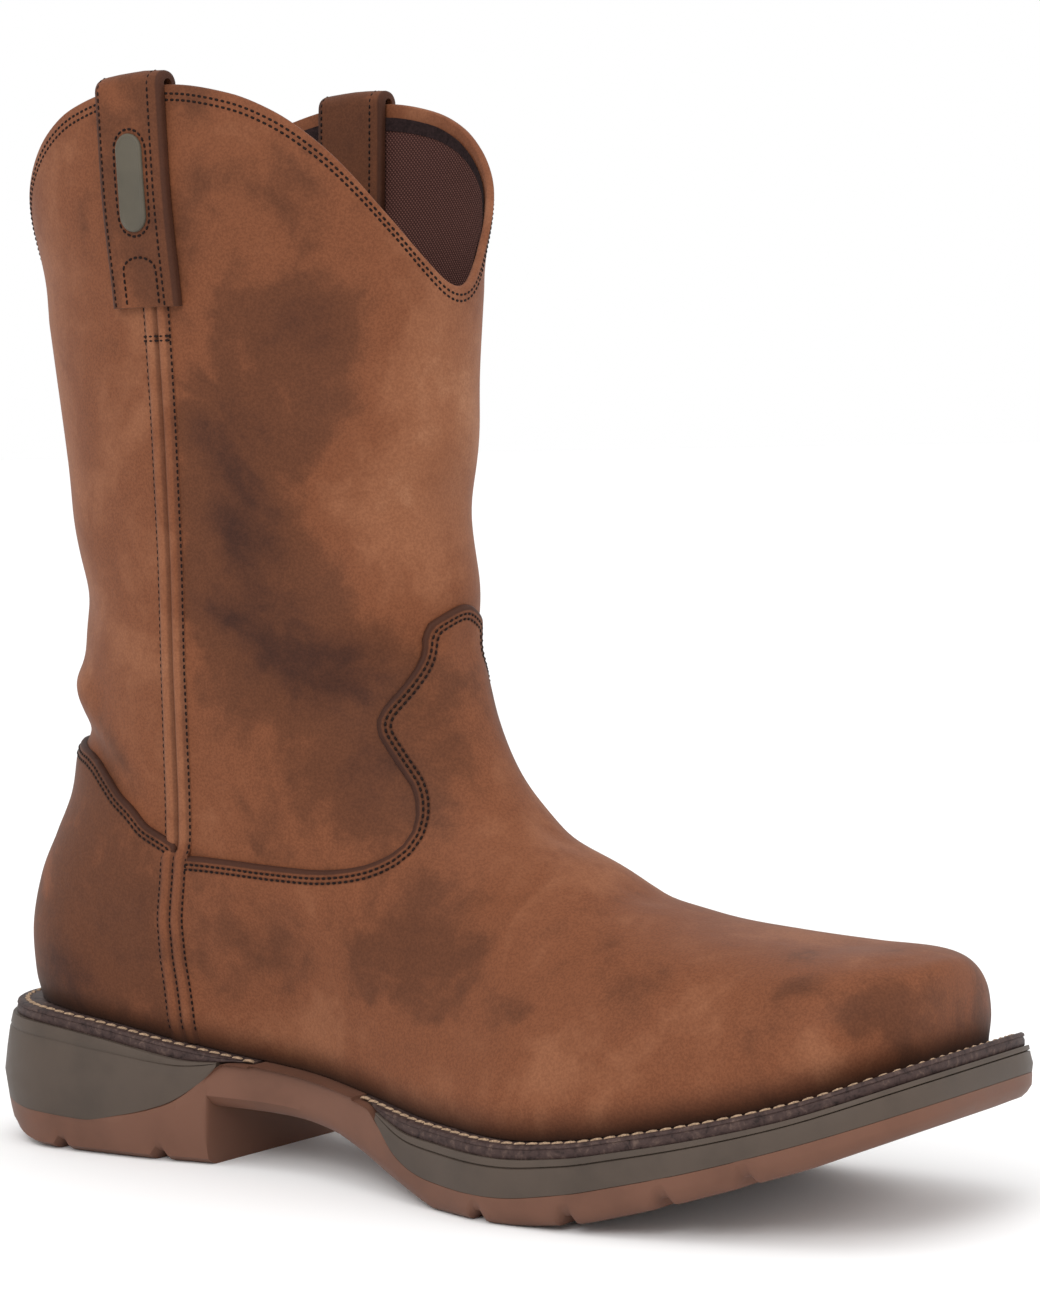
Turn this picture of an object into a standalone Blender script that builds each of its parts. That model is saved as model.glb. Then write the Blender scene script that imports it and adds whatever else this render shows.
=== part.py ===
"""A right western boot: a hollow leather upper on a welted rubber sole, with two pull straps.

Metres, +Z up. +X runs to the toe, -Y to the outer side of the foot and +Y to the inner side.
The origin is on the floor, in the middle of the heel's flat rest face.
Inside the script, x is measured from the back edge of the sole, and make() moves it to the origin.
"""
import math

import bpy
import numpy as np

for old in list(bpy.data.objects):
    bpy.data.objects.remove(old, do_unlink=True)

# Sizes of the sole
SOLE_LENGTH = 0.314
BALL_WIDTH = 0.110
HEEL_HEIGHT = 0.0405
FOREFOOT_THICKNESS = 0.0210
TOE_SPRING = 0.026
TOE_THINNING = 0.0036
HEEL_SEAT_LENGTH = 0.087
BREAST_HEIGHT = 0.0165
BREAST_SLOPE = 0.0012
HEEL_BEVEL = 0.0050
BEVEL_LENGTH = 0.026
WELT_THICKNESS = 0.0036
WELT_MARGIN = 0.0070
HEEL_BULGE = 0.0030
FOREFOOT_BULGE = 0.0015
TREAD_INSET = 0.0024
TREAD_EDGE = 0.0036
GROOVE_WIDTH = 0.0060
GROOVE_DEPTH = 0.0024
INSOLE_THICKNESS = 0.0080
REST_CENTRE = 0.053

# Sizes of the upper
SHAFT_HEIGHT = 0.298
SHAFT_LENGTH = 0.155
SHAFT_WIDTH = 0.098
INSTEP_RISE = 0.1152
FRONT_DIP = 0.056
BACK_DIP = 0.062
LEATHER = 0.0022
OVERLAY = 0.0015
SEAM_WIDTH = 0.0094
SEAM_THICKNESS = 0.0020
WALL_SWELL = 0.0015
SWELL_HEIGHT = 0.008
LEG_START = 0.060
ANKLE_LOW = 0.100
ANKLE_HIGH = 0.145

# Sizes of the straps and the badge; the places are shares of the sole's length
STRAP_WIDTH = 0.0235
STRAP_THICKNESS = 0.0022
STRAP_DROP = 0.0595
STRAP_INNER_DROP = 0.045
STRAP_LOOP = 0.0002
STRAP_INNER_GAP = 0.0008
STRAP_CENTRE_LATERAL = 0.273
STRAP_CENTRE_MEDIAL = 0.280
BADGE_WIDTH = 0.0090
BADGE_LENGTH = 0.0265
BADGE_THICKNESS = 0.0009
BADGE_ALONG = 0.273
BADGE_DROP = 0.026

# Room between neighbours that touch
GAP = 0.0003

# How finely the forms are made
AROUND = 22
TIP_STATIONS = 6
MIDDLE_STATIONS = 15
FINE = 240
STATION_GAP = 0.0022
END_REACH = 0.080
TURN_WEIGHT = 0.018
VAMP_RINGS = 19
COUNTER_RINGS = 14
SEAM_POINTS = 24

# Where one shape turns into the next: start and length of the change, as shares
TOE_ROUNDING = (0.66, 0.25)
LEG_ENDS = (0.50, 0.22)
COLLAR_ROUNDING = (0.66, 0.20)
THINNING = (0.70, 0.22)
BULGE_CHANGE = (0.20, 0.30)
COLLAR_MARGIN = 0.05
RIDGE_SLOPE = 1.6
TIP_LENGTH = 0.030

# How far the cutters reach past the part
CUTTER_REACH = 0.2
POCKET_HEIGHT = 0.03

# The sole seen from above, as shares of its length and of half the ball's width
PLAN = [
    # along, lateral, medial
    (0.00, 0.600, 0.600),
    (0.11, 0.615, 0.615),
    (0.20, 0.600, 0.600),
    (0.28, 0.545, 0.545),
    (0.36, 0.525, 0.500),
    (0.46, 0.660, 0.580),
    (0.56, 0.870, 0.800),
    (0.65, 0.995, 0.960),
    (0.72, 0.990, 1.005),
    (0.80, 0.925, 0.975),
    (0.88, 0.840, 0.900),
    (0.95, 0.770, 0.830),
    (1.00, 0.730, 0.790),
]
HEEL_CAP = (0.110, 2.1)
TOE_CAP = (0.100, 2.7)

# How square the upper's sections are: 2 is an ellipse
ROUND_INSTEP = 2.05
ROUND_TOE = 2.90
ROUND_LEG = 2.1
ROUND_COLLAR = 2.6

# The line where the upper meets the welt: heel share of the fall to the forefoot, toe share of the spring
FEATHER = [
    # along, heel, toe
    (0.00, 1.000, 0.000),
    (0.08, 0.970, 0.000),
    (0.14, 0.870, 0.000),
    (0.28, 0.520, 0.000),
    (0.42, 0.270, 0.000),
    (0.55, 0.050, 0.000),
    (0.65, 0.000, 0.000),
    (0.71, 0.000, 0.065),
    (0.76, 0.000, 0.175),
    (0.82, 0.000, 0.325),
    (0.90, 0.000, 0.575),
    (1.00, 0.000, 1.000),
]

# The top of the rubber outsole away from the arch, as shares of the height from the toe's rise to the welt's top
RUBBER_TOP = [
    # along, share
    (0.000, 0.360),
    (0.080, 0.275),
    (0.140, 0.265),
    (0.185, 0.345),
    (0.232, 0.485),
    (0.275, 0.720),
    (0.310, 0.960),
    (0.350, 1.000),
    (0.455, 1.000),
    (0.490, 0.740),
    (0.521, 0.520),
    (0.569, 0.375),
    (0.617, 0.350),
    (0.713, 0.400),
    (0.810, 0.450),
    (0.906, 0.500),
    (1.000, 0.510),
]
HEEL_INSERT_END = 0.288
FOREFOOT_INSERT_START = 0.488
ARCH_START = 0.322
ARCH_END = 0.458

# Where the sole's lines bend most, as shares of its length, and the stations that each such stretch gets
BENDS = [
    # start, end, stations
    (0.185, 0.310, 7),
    (0.440, 0.600, 9),
]

# The underside of the arch between the heel's breast and the ball, as shares of the breast's height
ARCH = [
    # along, share
    (0.277, 1.00),
    (0.340, 0.97),
    (0.420, 0.83),
    (0.500, 0.36),
    (0.565, 0.00),
]

# Grooves across the tread
GROOVES = [0.112, 0.225, 0.625, 0.715, 0.800, 0.870]

# The front of the upper from the side: toe wall, vamp and throat, as shares of the length and the instep
VAMP = [
    # along, rise
    (0.968, 0.000),
    (0.970, 0.075),
    (0.968, 0.150),
    (0.958, 0.230),
    (0.932, 0.273),
    (0.870, 0.316),
    (0.800, 0.357),
    (0.730, 0.427),
    (0.680, 0.491),
    (0.638, 0.548),
    (0.600, 0.602),
    (0.568, 0.666),
    (0.542, 0.738),
    (0.524, 0.814),
    (0.511, 0.894),
    (0.503, 1.000),
]

# The back of the upper below the ankle, as shares of the length and of the height to the throat
COUNTER = [
    # along, rise
    (0.027, 0.00),
    (0.021, 0.10),
    (0.0185, 0.21),
    (0.030, 0.36),
    (0.054, 0.50),
    (0.074, 0.62),
    (0.082, 0.76),
    (0.086, 0.88),
]

# The shaft from the throat to its top, as shares of its sizes; the centre is a share of the sole's length
SHAFT = [
    # up, length, width, centre
    (0.00, 0.823, 0.740, 0.2935),
    (0.15, 0.820, 0.750, 0.2930),
    (0.35, 0.845, 0.800, 0.2880),
    (0.60, 0.884, 0.890, 0.2850),
    (0.82, 0.955, 0.970, 0.2815),
    (1.00, 1.000, 1.000, 0.2723),
]

# The scallop of the collar, as shares of the half length and of the dip
SCALLOP = [
    # off, drop
    (0.00, 0.000),
    (0.15, 0.010),
    (0.40, 0.070),
    (0.57, 0.160),
    (0.72, 0.300),
    (0.835, 0.490),
    (0.915, 0.730),
    (0.955, 0.910),
    (0.980, 0.985),
    (1.00, 1.000),
]

# Width of the leg below the throat, and the share of each level section that lies behind its widest place
LEG = [
    # rise, width, back
    (0.00, 0.660, 0.20),
    (0.25, 0.690, 0.24),
    (0.55, 0.700, 0.33),
    (0.85, 0.725, 0.44),
    (1.00, 0.740, 0.48),
]

# The side seam's middle, as shares of the height and the length
SEAM = [
    # up, along
    (0.00, 0.243),
    (0.20, 0.240),
    (0.31, 0.262),
    (0.40, 0.265),
    (0.54, 0.268),
    (0.80, 0.281),
    (1.00, 0.287),
]

# The upper edge of the vamp, from the side seam to the tongue, as shares of the length and the height
VAMP_EDGE = [
    # along, up
    (0.277, 0.2930),
    (0.320, 0.2905),
    (0.370, 0.2870),
    (0.425, 0.2860),
    (0.462, 0.2930),
    (0.482, 0.3030),
    (0.492, 0.3130),
    (0.497, 0.3270),
    (0.496, 0.3410),
    (0.492, 0.3560),
    (0.481, 0.3740),
    (0.467, 0.3970),
    (0.4585, 0.4180),
    (0.460, 0.4250),
    (0.476, 0.4530),
    (0.484, 0.4760),
    (0.485, 0.4950),
    (0.487, 0.5090),
    (0.493, 0.5200),
    (0.505, 0.5240),
    (0.560, 0.5240),
]

# The upper edge of the heel counter, from the side seam to the back
COUNTER_EDGE = [
    # along, up
    (0.240, 0.3030),
    (0.214, 0.3320),
    (0.190, 0.3480),
    (0.167, 0.3670),
    (0.152, 0.3760),
    (0.110, 0.3880),
    (-0.050, 0.3930),
]

# The rings from the welt to the collar: where each starts up the back and the front, and what it follows
RINGS = [
    # back, front, feather, collar
    (0.000, 0.000, 1.00, 0.00),
    (0.020, 0.017, 1.00, 0.00),
    (0.055, 0.040, 1.00, 0.00),
    (0.095, 0.064, 1.00, 0.00),
    (0.135, 0.088, 0.98, 0.00),
    (0.170, 0.125, 0.95, 0.00),
    (0.205, 0.180, 0.90, 0.00),
    (0.240, 0.245, 0.82, 0.00),
    (0.275, 0.310, 0.70, 0.00),
    (0.310, 0.370, 0.55, 0.00),
    (0.345, 0.425, 0.40, 0.00),
    (0.380, 0.475, 0.25, 0.00),
    (0.415, 0.520, 0.12, 0.00),
    (0.450, 0.560, 0.04, 0.00),
    (0.490, 0.600, 0.00, 0.00),
    (0.540, 0.645, 0.00, 0.00),
    (0.600, 0.695, 0.00, 0.02),
    (0.665, 0.750, 0.00, 0.08),
    (0.735, 0.805, 0.00, 0.20),
    (0.805, 0.860, 0.00, 0.38),
    (0.870, 0.910, 0.00, 0.60),
    (0.930, 0.955, 0.00, 0.80),
    (1.000, 1.000, 0.00, 1.00),
]


def smooth(t):
    """0 to 1 with level ends."""
    t = np.clip(t, 0.0, 1.0)
    return t * t * (3.0 - 2.0 * t)


def change(share, where):
    """0 before the place where a shape changes, 1 after it."""
    start, length = where
    return smooth((share - start) / length)


def through(table, column, at):
    """Reads a column of a table along its first column, on a smooth curve that never overshoots."""
    rows = np.array([[row[0], row[column]] for row in table], dtype=float)
    knots, values = rows[:, 0], rows[:, 1]
    step = np.diff(knots)
    slope = np.diff(values) / step
    tangent = np.zeros(len(values))
    tangent[0], tangent[-1] = slope[0], slope[-1]
    for i in range(1, len(values) - 1):
        if slope[i - 1] * slope[i] > 0.0:
            before, after = 2 * step[i] + step[i - 1], step[i] + 2 * step[i - 1]
            tangent[i] = (before + after) / (before / slope[i - 1] + after / slope[i])
    at = np.asarray(at, dtype=float)
    i = np.clip(np.searchsorted(knots, at, side="right") - 1, 0, len(step) - 1)
    t = np.clip((at - knots[i]) / step[i], 0.0, 1.0)
    start = (2 * t**3 - 3 * t**2 + 1) * values[i] + (t**3 - 2 * t**2 + t) * step[i] * tangent[i]
    end = (3 * t**2 - 2 * t**3) * values[i + 1] + (t**3 - t**2) * step[i] * tangent[i + 1]
    return start + end


def curve(points, count):
    """Evenly spaced points on a smooth curve through the given ones."""
    points = np.asarray(points, dtype=float)
    reach = np.concatenate([[0.0], np.cumsum(np.linalg.norm(np.diff(points, axis=0), axis=1))])
    slope = np.gradient(points, reach, axis=0)
    at = np.linspace(0.0, reach[-1], count)
    i = np.clip(np.searchsorted(reach, at, side="right") - 1, 0, len(points) - 2)
    step = (reach[i + 1] - reach[i])[:, None]
    t = ((at - reach[i])[:, None]) / step
    start = (2 * t**3 - 3 * t**2 + 1) * points[i] + (t**3 - 2 * t**2 + t) * step * slope[i]
    end = (3 * t**2 - 2 * t**3) * points[i + 1] + (t**3 - t**2) * step * slope[i + 1]
    return start + end


def end_cap(distance, length, power):
    """1 away from an end, and 0 at it, rounded like a superellipse."""
    short = np.clip(1.0 - distance / length, 0.0, 1.0)
    return (1.0 - short**power) ** (1.0 / power)


# Lines of the sole

def feather(x):
    """Height of the welt's top, where the upper stands."""
    share = np.asarray(x) / SOLE_LENGTH
    heel = through(FEATHER, 1, share) * (HEEL_HEIGHT - FOREFOOT_THICKNESS)
    return FOREFOOT_THICKNESS + heel + toe_rise(x)


def plan_half(x, side):
    """Half the sole's width at x without its round ends; side is 1 for the inner side, -1 for the outer."""
    column = 2 if side > 0 else 1
    return through(PLAN, column, np.asarray(x) / SOLE_LENGTH) * BALL_WIDTH / 2


def sole_outline(x, side, grow):
    """Half width of the sole's outline at x, grown outward by grow."""
    ends = end_cap(x + grow, HEEL_CAP[0] * SOLE_LENGTH, HEEL_CAP[1])
    ends = ends * end_cap(SOLE_LENGTH + grow - x, TOE_CAP[0] * SOLE_LENGTH, TOE_CAP[1])
    return (plan_half(x, side) + grow) * ends


def underside(x):
    """Height of the tread's lower face, with the breast, the arch and the toe spring."""
    share = x / SOLE_LENGTH
    bevel = HEEL_BEVEL * (1.0 - smooth(x / BEVEL_LENGTH))
    breast = BREAST_HEIGHT * np.clip((x - HEEL_SEAT_LENGTH) / BREAST_SLOPE, 0.0, 1.0)
    arch = breast * through(ARCH, 1, np.maximum(share, ARCH[0][0]))
    thinning = TOE_THINNING * change(share, THINNING)
    groove = 0.0
    for place in GROOVES:
        off = abs(x - place * SOLE_LENGTH) / (GROOVE_WIDTH / 2)
        groove = groove + GROOVE_DEPTH * np.clip(1.5 * (1.0 - off), 0.0, 1.0)
    return toe_rise(x) + thinning + bevel + arch + groove


def bulge(x, share):
    """How far the sole's wall stands out from its plan at a share of its height."""
    most = FOREFOOT_BULGE + (HEEL_BULGE - FOREFOOT_BULGE) * (1.0 - change(x / SOLE_LENGTH, BULGE_CHANGE))
    return most * np.sin(math.pi * np.clip(share, 0.0, 1.0)) ** 0.8


def toe_rise(x):
    return TOE_SPRING * through(FEATHER, 2, np.asarray(x) / SOLE_LENGTH)


def rubber_top(x):
    """Height of the outsole's upper face: low under the inserts, and up to the upper along the arch."""
    base = toe_rise(x)
    curved = base + through(RUBBER_TOP, 1, x / SOLE_LENGTH) * (feather(x) - base)
    low = np.minimum(curved, feather(x) - WELT_THICKNESS - GAP)
    wrapped = (x > ARCH_START * SOLE_LENGTH + 2 * GAP) & (x < ARCH_END * SOLE_LENGTH - 2 * GAP)
    return np.where(wrapped, feather(x), low)


# Lines of the upper

def foot_line(x):
    """Height of the upper's lower edge."""
    return float(feather(x)) + GAP


def throat_height():
    return float(feather(VAMP[-1][0] * SOLE_LENGTH)) + INSTEP_RISE


def front_line():
    """The front of the upper from the side, toe foot to collar."""
    points = [(a * SOLE_LENGTH, foot_line(a * SOLE_LENGTH) + r * INSTEP_RISE) for a, r in VAMP]
    return curve(points + shaft_points(1.0, SHAFT_HEIGHT - FRONT_DIP), FINE)


def back_line():
    """The back of the upper from the side, heel foot to collar."""
    foot = foot_line(COUNTER[0][0] * SOLE_LENGTH)
    points = [(a * SOLE_LENGTH, foot + r * (throat_height() - foot)) for a, r in COUNTER]
    return curve(points + shaft_points(-1.0, SHAFT_HEIGHT - BACK_DIP), FINE)


def shaft_points(way, top):
    """Points up the front or the back of the shaft, ending at the collar's height top."""
    base = throat_height()
    heights = [base + row[0] * (SHAFT_HEIGHT - base) for row in SHAFT[1:]]
    heights = [z for z in heights if z < top - COLLAR_MARGIN * SHAFT_HEIGHT] + [top]
    return [(shaft_end(z, way), z) for z in heights]


def shaft_share(z):
    base = throat_height()
    return (z - base) / (SHAFT_HEIGHT - base)


def shaft_end(z, way):
    """Where a level section of the shaft ends, forward for way 1 and back for way -1."""
    up = shaft_share(z)
    centre = through(SHAFT, 3, up) * SOLE_LENGTH
    return float(centre + way * through(SHAFT, 1, up) * SHAFT_LENGTH / 2)


def collar_height(x):
    """Height of the scalloped top edge over x."""
    back, front = shaft_end(SHAFT_HEIGHT - BACK_DIP, -1.0), shaft_end(SHAFT_HEIGHT - FRONT_DIP, 1.0)
    off = (np.asarray(x) - (back + front) / 2) / ((front - back) / 2)
    dip = np.where(off > 0.0, FRONT_DIP, BACK_DIP)
    return SHAFT_HEIGHT - dip * through(SCALLOP, 1, np.minimum(np.abs(off), 1.0))


FRONT = front_line()
BACK = back_line()
WALL_TOP = 0.951 * SOLE_LENGTH


def ridge(x):
    """Height of the vamp's ridge over x, carried on upward behind the throat."""
    widest, throat = int(np.argmax(FRONT[:, 0])), int(np.argmin(FRONT[:, 0]))
    line = FRONT[widest:throat + 1][::-1]
    height = np.interp(x, line[:, 0], line[:, 1])
    return height + RIDGE_SLOPE * np.maximum(line[0, 0] - x, 0.0)


def half_width(x, z, side):
    """Half width of the upper at a place inside its side outline."""
    share = x / SOLE_LENGTH
    above = z - feather(x)
    front, back = np.interp(z, FRONT[:, 1], FRONT[:, 0]), np.interp(z, BACK[:, 1], BACK[:, 0])
    # Over the foot, each upright section is an arch from the welt to the ridge
    round_power = ROUND_INSTEP + (ROUND_TOE - ROUND_INSTEP) * change(share, TOE_ROUNDING)
    up = np.clip(above / np.maximum(ridge(x) - feather(x), 1e-4), 0.0, 1.0)
    arch = (1.0 - up**round_power) ** (1.0 / round_power)
    ends = end_cap(x - back, HEEL_CAP[0] * SOLE_LENGTH, HEEL_CAP[1])
    ends = ends * end_cap(np.maximum(front, WALL_TOP) - x, TOE_CAP[0] * SOLE_LENGTH, TOE_CAP[1])
    foot = (plan_half(x, side) - WELT_MARGIN + WALL_SWELL * smooth(above / SWELL_HEIGHT)) * ends * arch
    # In the leg, each level section is an oval
    rise = (z - feather(0.0)) / (throat_height() - feather(0.0))
    width = np.where(rise < 1.0, through(LEG, 1, rise), through(SHAFT, 2, shaft_share(z))) * SHAFT_WIDTH
    behind = through(LEG, 2, rise) * (front - back)
    power = ROUND_LEG + (ROUND_COLLAR - ROUND_LEG) * change(shaft_share(z), COLLAR_ROUNDING)
    oval = end_cap(x - back, behind, power) * end_cap(front - x, front - back - behind, power)
    leg = width / 2 * oval
    blend = smooth(above / LEG_START) * (1.0 - change(share, LEG_ENDS))
    blend = np.maximum(blend, smooth((z - ANKLE_LOW) / (ANKLE_HIGH - ANKLE_LOW)))
    return foot + (leg - foot) * blend


def along_line(line, share):
    at = share * (len(line) - 1)
    i = min(int(at), len(line) - 2)
    return line[i] + (line[i + 1] - line[i]) * (at - i)


def ring(row):
    """One ring of the upper: the outer side from back to front, then the inner side back again."""
    back_share, front_share, keep_feather, keep_collar = row
    start, end = along_line(BACK, back_share), along_line(FRONT, front_share)
    t = (1.0 - np.cos(np.linspace(0.0, math.pi, FINE))) / 2
    x = start[0] + (end[0] - start[0]) * t
    z = start[1] + (end[1] - start[1]) * t
    z = z + keep_feather * (feather(x) - feather(start[0]) * (1 - t) - feather(end[0]) * t)
    collar_ends = collar_height(start[0]) * (1 - t) + collar_height(end[0]) * t
    z = z + keep_collar * (collar_height(x) - collar_ends)
    sides = []
    for side in (-1, 1):
        y = half_width(x, z, side)
        y[0] = y[-1] = 0.0
        points = np.stack([x, side * y, z], axis=1)
        sides.append(even(points, AROUND))
    return np.vstack([sides[0], sides[1][-2:0:-1]])


def even(points, count):
    """Points along a line, closer together where it turns."""
    legs = np.diff(points, axis=0)
    lengths = np.linalg.norm(legs, axis=1)
    heading = np.unwrap(np.arctan2(legs[:, 1], legs[:, 0]))
    turning = np.abs(np.gradient(heading))
    weight = lengths + TURN_WEIGHT * turning
    reach = np.concatenate([[0.0], np.cumsum(weight)])
    at = np.linspace(0.0, reach[-1], count + 1)
    return np.stack([np.interp(at, reach, points[:, i]) for i in range(3)], axis=1)


def form(grow, first=0, last=None):
    """The rings of the upper's form, moved outward by grow; the lowest one stays on the welt."""
    rings = np.array([ring(row) for row in RINGS])
    around = np.roll(rings, -1, axis=1) - np.roll(rings, 1, axis=1)
    upward = np.gradient(rings, axis=0)
    normal = np.cross(upward, around)
    normal[[0, -1], :, 2] = 0.0
    normal = normal / np.linalg.norm(normal, axis=2, keepdims=True)
    centre = rings.mean(axis=1, keepdims=True)
    if ((rings - centre) * normal).sum() < 0:
        normal = -normal
    moved = rings + grow * normal
    moved[0, :, 2] = feather(moved[0, :, 0]) + GAP
    return moved[first:last]


def wall(inner, outer, first=0, last=None):
    """Points and faces of a closed wall between two offsets of the upper's form.

    Every offset is split along the same diagonals, so walls laid on each other stay parallel.
    """
    inside, outside = form(inner, first, last), form(outer, first, last)
    rows, around = inside.shape[:2]
    verts = np.vstack([outside.reshape(-1, 3), inside.reshape(-1, 3)])
    shift = rows * around
    faces = []
    for i in range(around):
        j = (i + 1) % around
        for r in range(rows - 1):
            a, b, c, d = r * around + i, r * around + j, (r + 1) * around + j, (r + 1) * around + i
            faces += [(a, b, c), (a, c, d)]
            faces += [(shift + a, shift + c, shift + b), (shift + a, shift + d, shift + c)]
        faces.append((j, i, shift + i, shift + j))
        top = (rows - 1) * around
        faces.append((top + i, top + j, shift + top + j, shift + top + i))
    return verts, faces


def make(name, verts, faces, material):
    """A mesh object, its points moved so that the part's origin is under the heel."""
    mesh = bpy.data.meshes.new(name)
    mesh.from_pydata([(float(x) - REST_CENTRE, float(y), float(z)) for x, y, z in verts], [], faces)
    mesh.materials.append(material)
    mesh.update()
    item = bpy.data.objects.new(name, mesh)
    bpy.context.collection.objects.link(item)
    return item


def finish(item, corner=32.0):
    """Smooth shading that keeps the corners sharp."""
    item.data.shade_smooth()
    item.data.set_sharp_from_angle(angle=math.radians(corner))
    return item


def material(name, colour, roughness, metallic=0.0):
    item = bpy.data.materials.new(name)
    item.use_nodes = True
    shader = item.node_tree.nodes["Principled BSDF"]
    shader.inputs["Base Color"].default_value = (*colour, 1.0)
    shader.inputs["Roughness"].default_value = roughness
    shader.inputs["Metallic"].default_value = metallic
    return item


def prism(name, outline, low, high):
    """A cutter with a side outline of (x, z) points, from y = low to y = high."""
    area = sum(a[0] * b[1] - b[0] * a[1] for a, b in zip(outline, outline[1:] + outline[:1]))
    outline = outline if area > 0.0 else outline[::-1]
    count = len(outline)
    verts = [(x, low, z) for x, z in outline] + [(x, high, z) for x, z in outline]
    faces = [tuple(range(count)), tuple(range(2 * count - 1, count - 1, -1))]
    for i in range(count):
        j = (i + 1) % count
        faces.append((j, i, count + i, count + j))
    return as_cutter(make(name, verts, faces, CUTTER_MATERIAL))


def as_cutter(item):
    item.hide_render = True
    item.display_type = "WIRE"
    return item


def cut(item, cutter, operation):
    step = item.modifiers.new(operation.title() + " " + cutter.name, "BOOLEAN")
    step.operation = operation
    step.solver = "EXACT"
    step.object = cutter


def stack(levels):
    """A solid from level outlines, low to high, each (x, outer y, inner y, z) by station along the foot.

    Where both sides meet on the centre line, at the heel's or the toe's end, they share one point.
    """
    verts, index = [], []
    for x, outer, inner, z in levels:
        row = []
        for i in range(len(x)):
            a = len(verts)
            verts.append((x[i], outer[i], z[i]))
            if inner[i] - outer[i] > 1e-6:
                verts.append((x[i], inner[i], z[i]))
            row.append((a, len(verts) - 1))
        index.append(row)
    faces = []

    def face(*corners):
        kept = [c for i, c in enumerate(corners) if c != corners[i - 1]]
        if len(set(kept)) > 2:
            faces.append(tuple(kept))

    last = len(index[0]) - 1
    for i in range(last):
        low, top = index[0], index[-1]
        face(low[i][0], low[i][1], low[i + 1][1], low[i + 1][0])
        face(top[i][0], top[i + 1][0], top[i + 1][1], top[i][1])
    for low, high in zip(index, index[1:]):
        for i in range(last):
            face(low[i][0], low[i + 1][0], high[i + 1][0], high[i][0])
            face(low[i][1], high[i][1], high[i + 1][1], low[i + 1][1])
        if low[0][0] != low[0][1]:
            face(low[0][0], high[0][0], high[0][1], low[0][1])
        if low[last][0] != low[last][1]:
            face(low[last][0], low[last][1], high[last][1], high[last][0])
    return verts, faces


def stations(start, end, corners=()):
    """Places along the sole that its pieces share, with the extra corners that one of them needs."""
    heel, toe = HEEL_CAP[0] * SOLE_LENGTH, TOE_CAP[0] * SOLE_LENGTH
    quarter = np.linspace(0.0, math.pi / 2, TIP_STATIONS + 1)
    places = [heel * (1.0 - np.cos(quarter)), SOLE_LENGTH - toe * (1.0 - np.cos(quarter)) ** 1.3]
    places.append(np.linspace(heel, SOLE_LENGTH - toe, MIDDLE_STATIONS))
    places += [np.linspace(first, last, count) * SOLE_LENGTH for first, last, count in BENDS]
    ends = [share * SOLE_LENGTH for share in (0.0, HEEL_INSERT_END, ARCH_START, ARCH_END, FOREFOOT_INSERT_START, 1.0)]
    fixed = np.unique(np.round([*ends, *corners], 6))
    kept = [place for place in np.concatenate(places) if np.abs(fixed - place).min() > STATION_GAP]
    shared = np.unique(np.round([*fixed, *kept], 6))
    return shared[(shared >= start - 1e-6) & (shared <= end + 1e-6)]


def sole_level(xs, grow, z):
    """One level of a sole piece, its outline grown outward by grow."""
    pull = smooth(1.0 - (SOLE_LENGTH - xs) / TIP_LENGTH) - smooth(1.0 - xs / TIP_LENGTH)
    x = xs + grow * pull
    outer, inner = -sole_outline(x, -1, grow), sole_outline(x, 1, grow)
    return x, outer, inner, z


def wall_levels(xs, low, high, shares):
    """Levels of a sole piece between two heights, with the wall's bulge."""
    base = toe_rise(xs)
    whole = feather(xs) - base
    levels = []
    for share in shares:
        z = low + (high - low) * share
        levels.append(sole_level(xs, bulge(xs, (z - base) / whole), z))
    return levels


def foot_half(x, side, inset):
    """Half width inside the upper's foot at the welt, inset from its outer face."""
    back, front = BACK[0, 0] + inset, FRONT[0, 0] - inset
    ends = end_cap(x - back, HEEL_CAP[0] * SOLE_LENGTH, HEEL_CAP[1])
    ends = ends * end_cap(front - x, TOE_CAP[0] * SOLE_LENGTH, TOE_CAP[1])
    return (plan_half(x, side) - WELT_MARGIN - inset) * ends


def inside_stations(xs, inset):
    """The same places along the sole, squeezed near its ends to fit between the inside's own."""
    back, front = BACK[0, 0] + inset, FRONT[0, 0] - inset
    heel = back * (1.0 - smooth(xs / END_REACH))
    toe = (SOLE_LENGTH - front) * (1.0 - smooth((SOLE_LENGTH - xs) / END_REACH))
    return xs + heel - toe


def make_outsole():
    """The gum rubber sole, its pocket cut down to the welt's level inside the upper."""
    corners = [HEEL_SEAT_LENGTH, HEEL_SEAT_LENGTH + BREAST_SLOPE, BEVEL_LENGTH]
    for end, way in ((ARCH_START, 1), (ARCH_END, -1)):
        corners += [end * SOLE_LENGTH + way * GAP, end * SOLE_LENGTH + way * 4 * GAP]
    for share in GROOVES:
        middle = share * SOLE_LENGTH
        corners += [middle + off * GROOVE_WIDTH for off in (-0.5, -1 / 6, 1 / 6, 0.5)]
    xs = stations(0.0, SOLE_LENGTH, corners)
    low, high = underside(xs), rubber_top(xs)
    level = np.zeros(len(xs))
    edge = [
        sole_level(xs, bulge(xs, level) - TREAD_INSET, low),
        sole_level(xs, bulge(xs, level + 0.1) - TREAD_INSET / 4, low + 0.4 * TREAD_EDGE),
    ]
    walls = wall_levels(xs, low + TREAD_EDGE, high, (0.0, 0.35, 0.7, 1.0))
    item = make("outsole", *stack(edge + walls), RUBBER)
    inner = inside_stations(stations(0.0, SOLE_LENGTH), LEATHER)
    floor = feather(inner) - WELT_THICKNESS - GAP
    sides = -foot_half(inner, -1, LEATHER), foot_half(inner, 1, LEATHER)
    pocket = make("insole_pocket", *stack([(inner, *sides, floor), (inner, *sides, floor + POCKET_HEIGHT)]), CUTTER_MATERIAL)
    cut(item, as_cutter(pocket), "DIFFERENCE")
    return finish(item)


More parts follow.
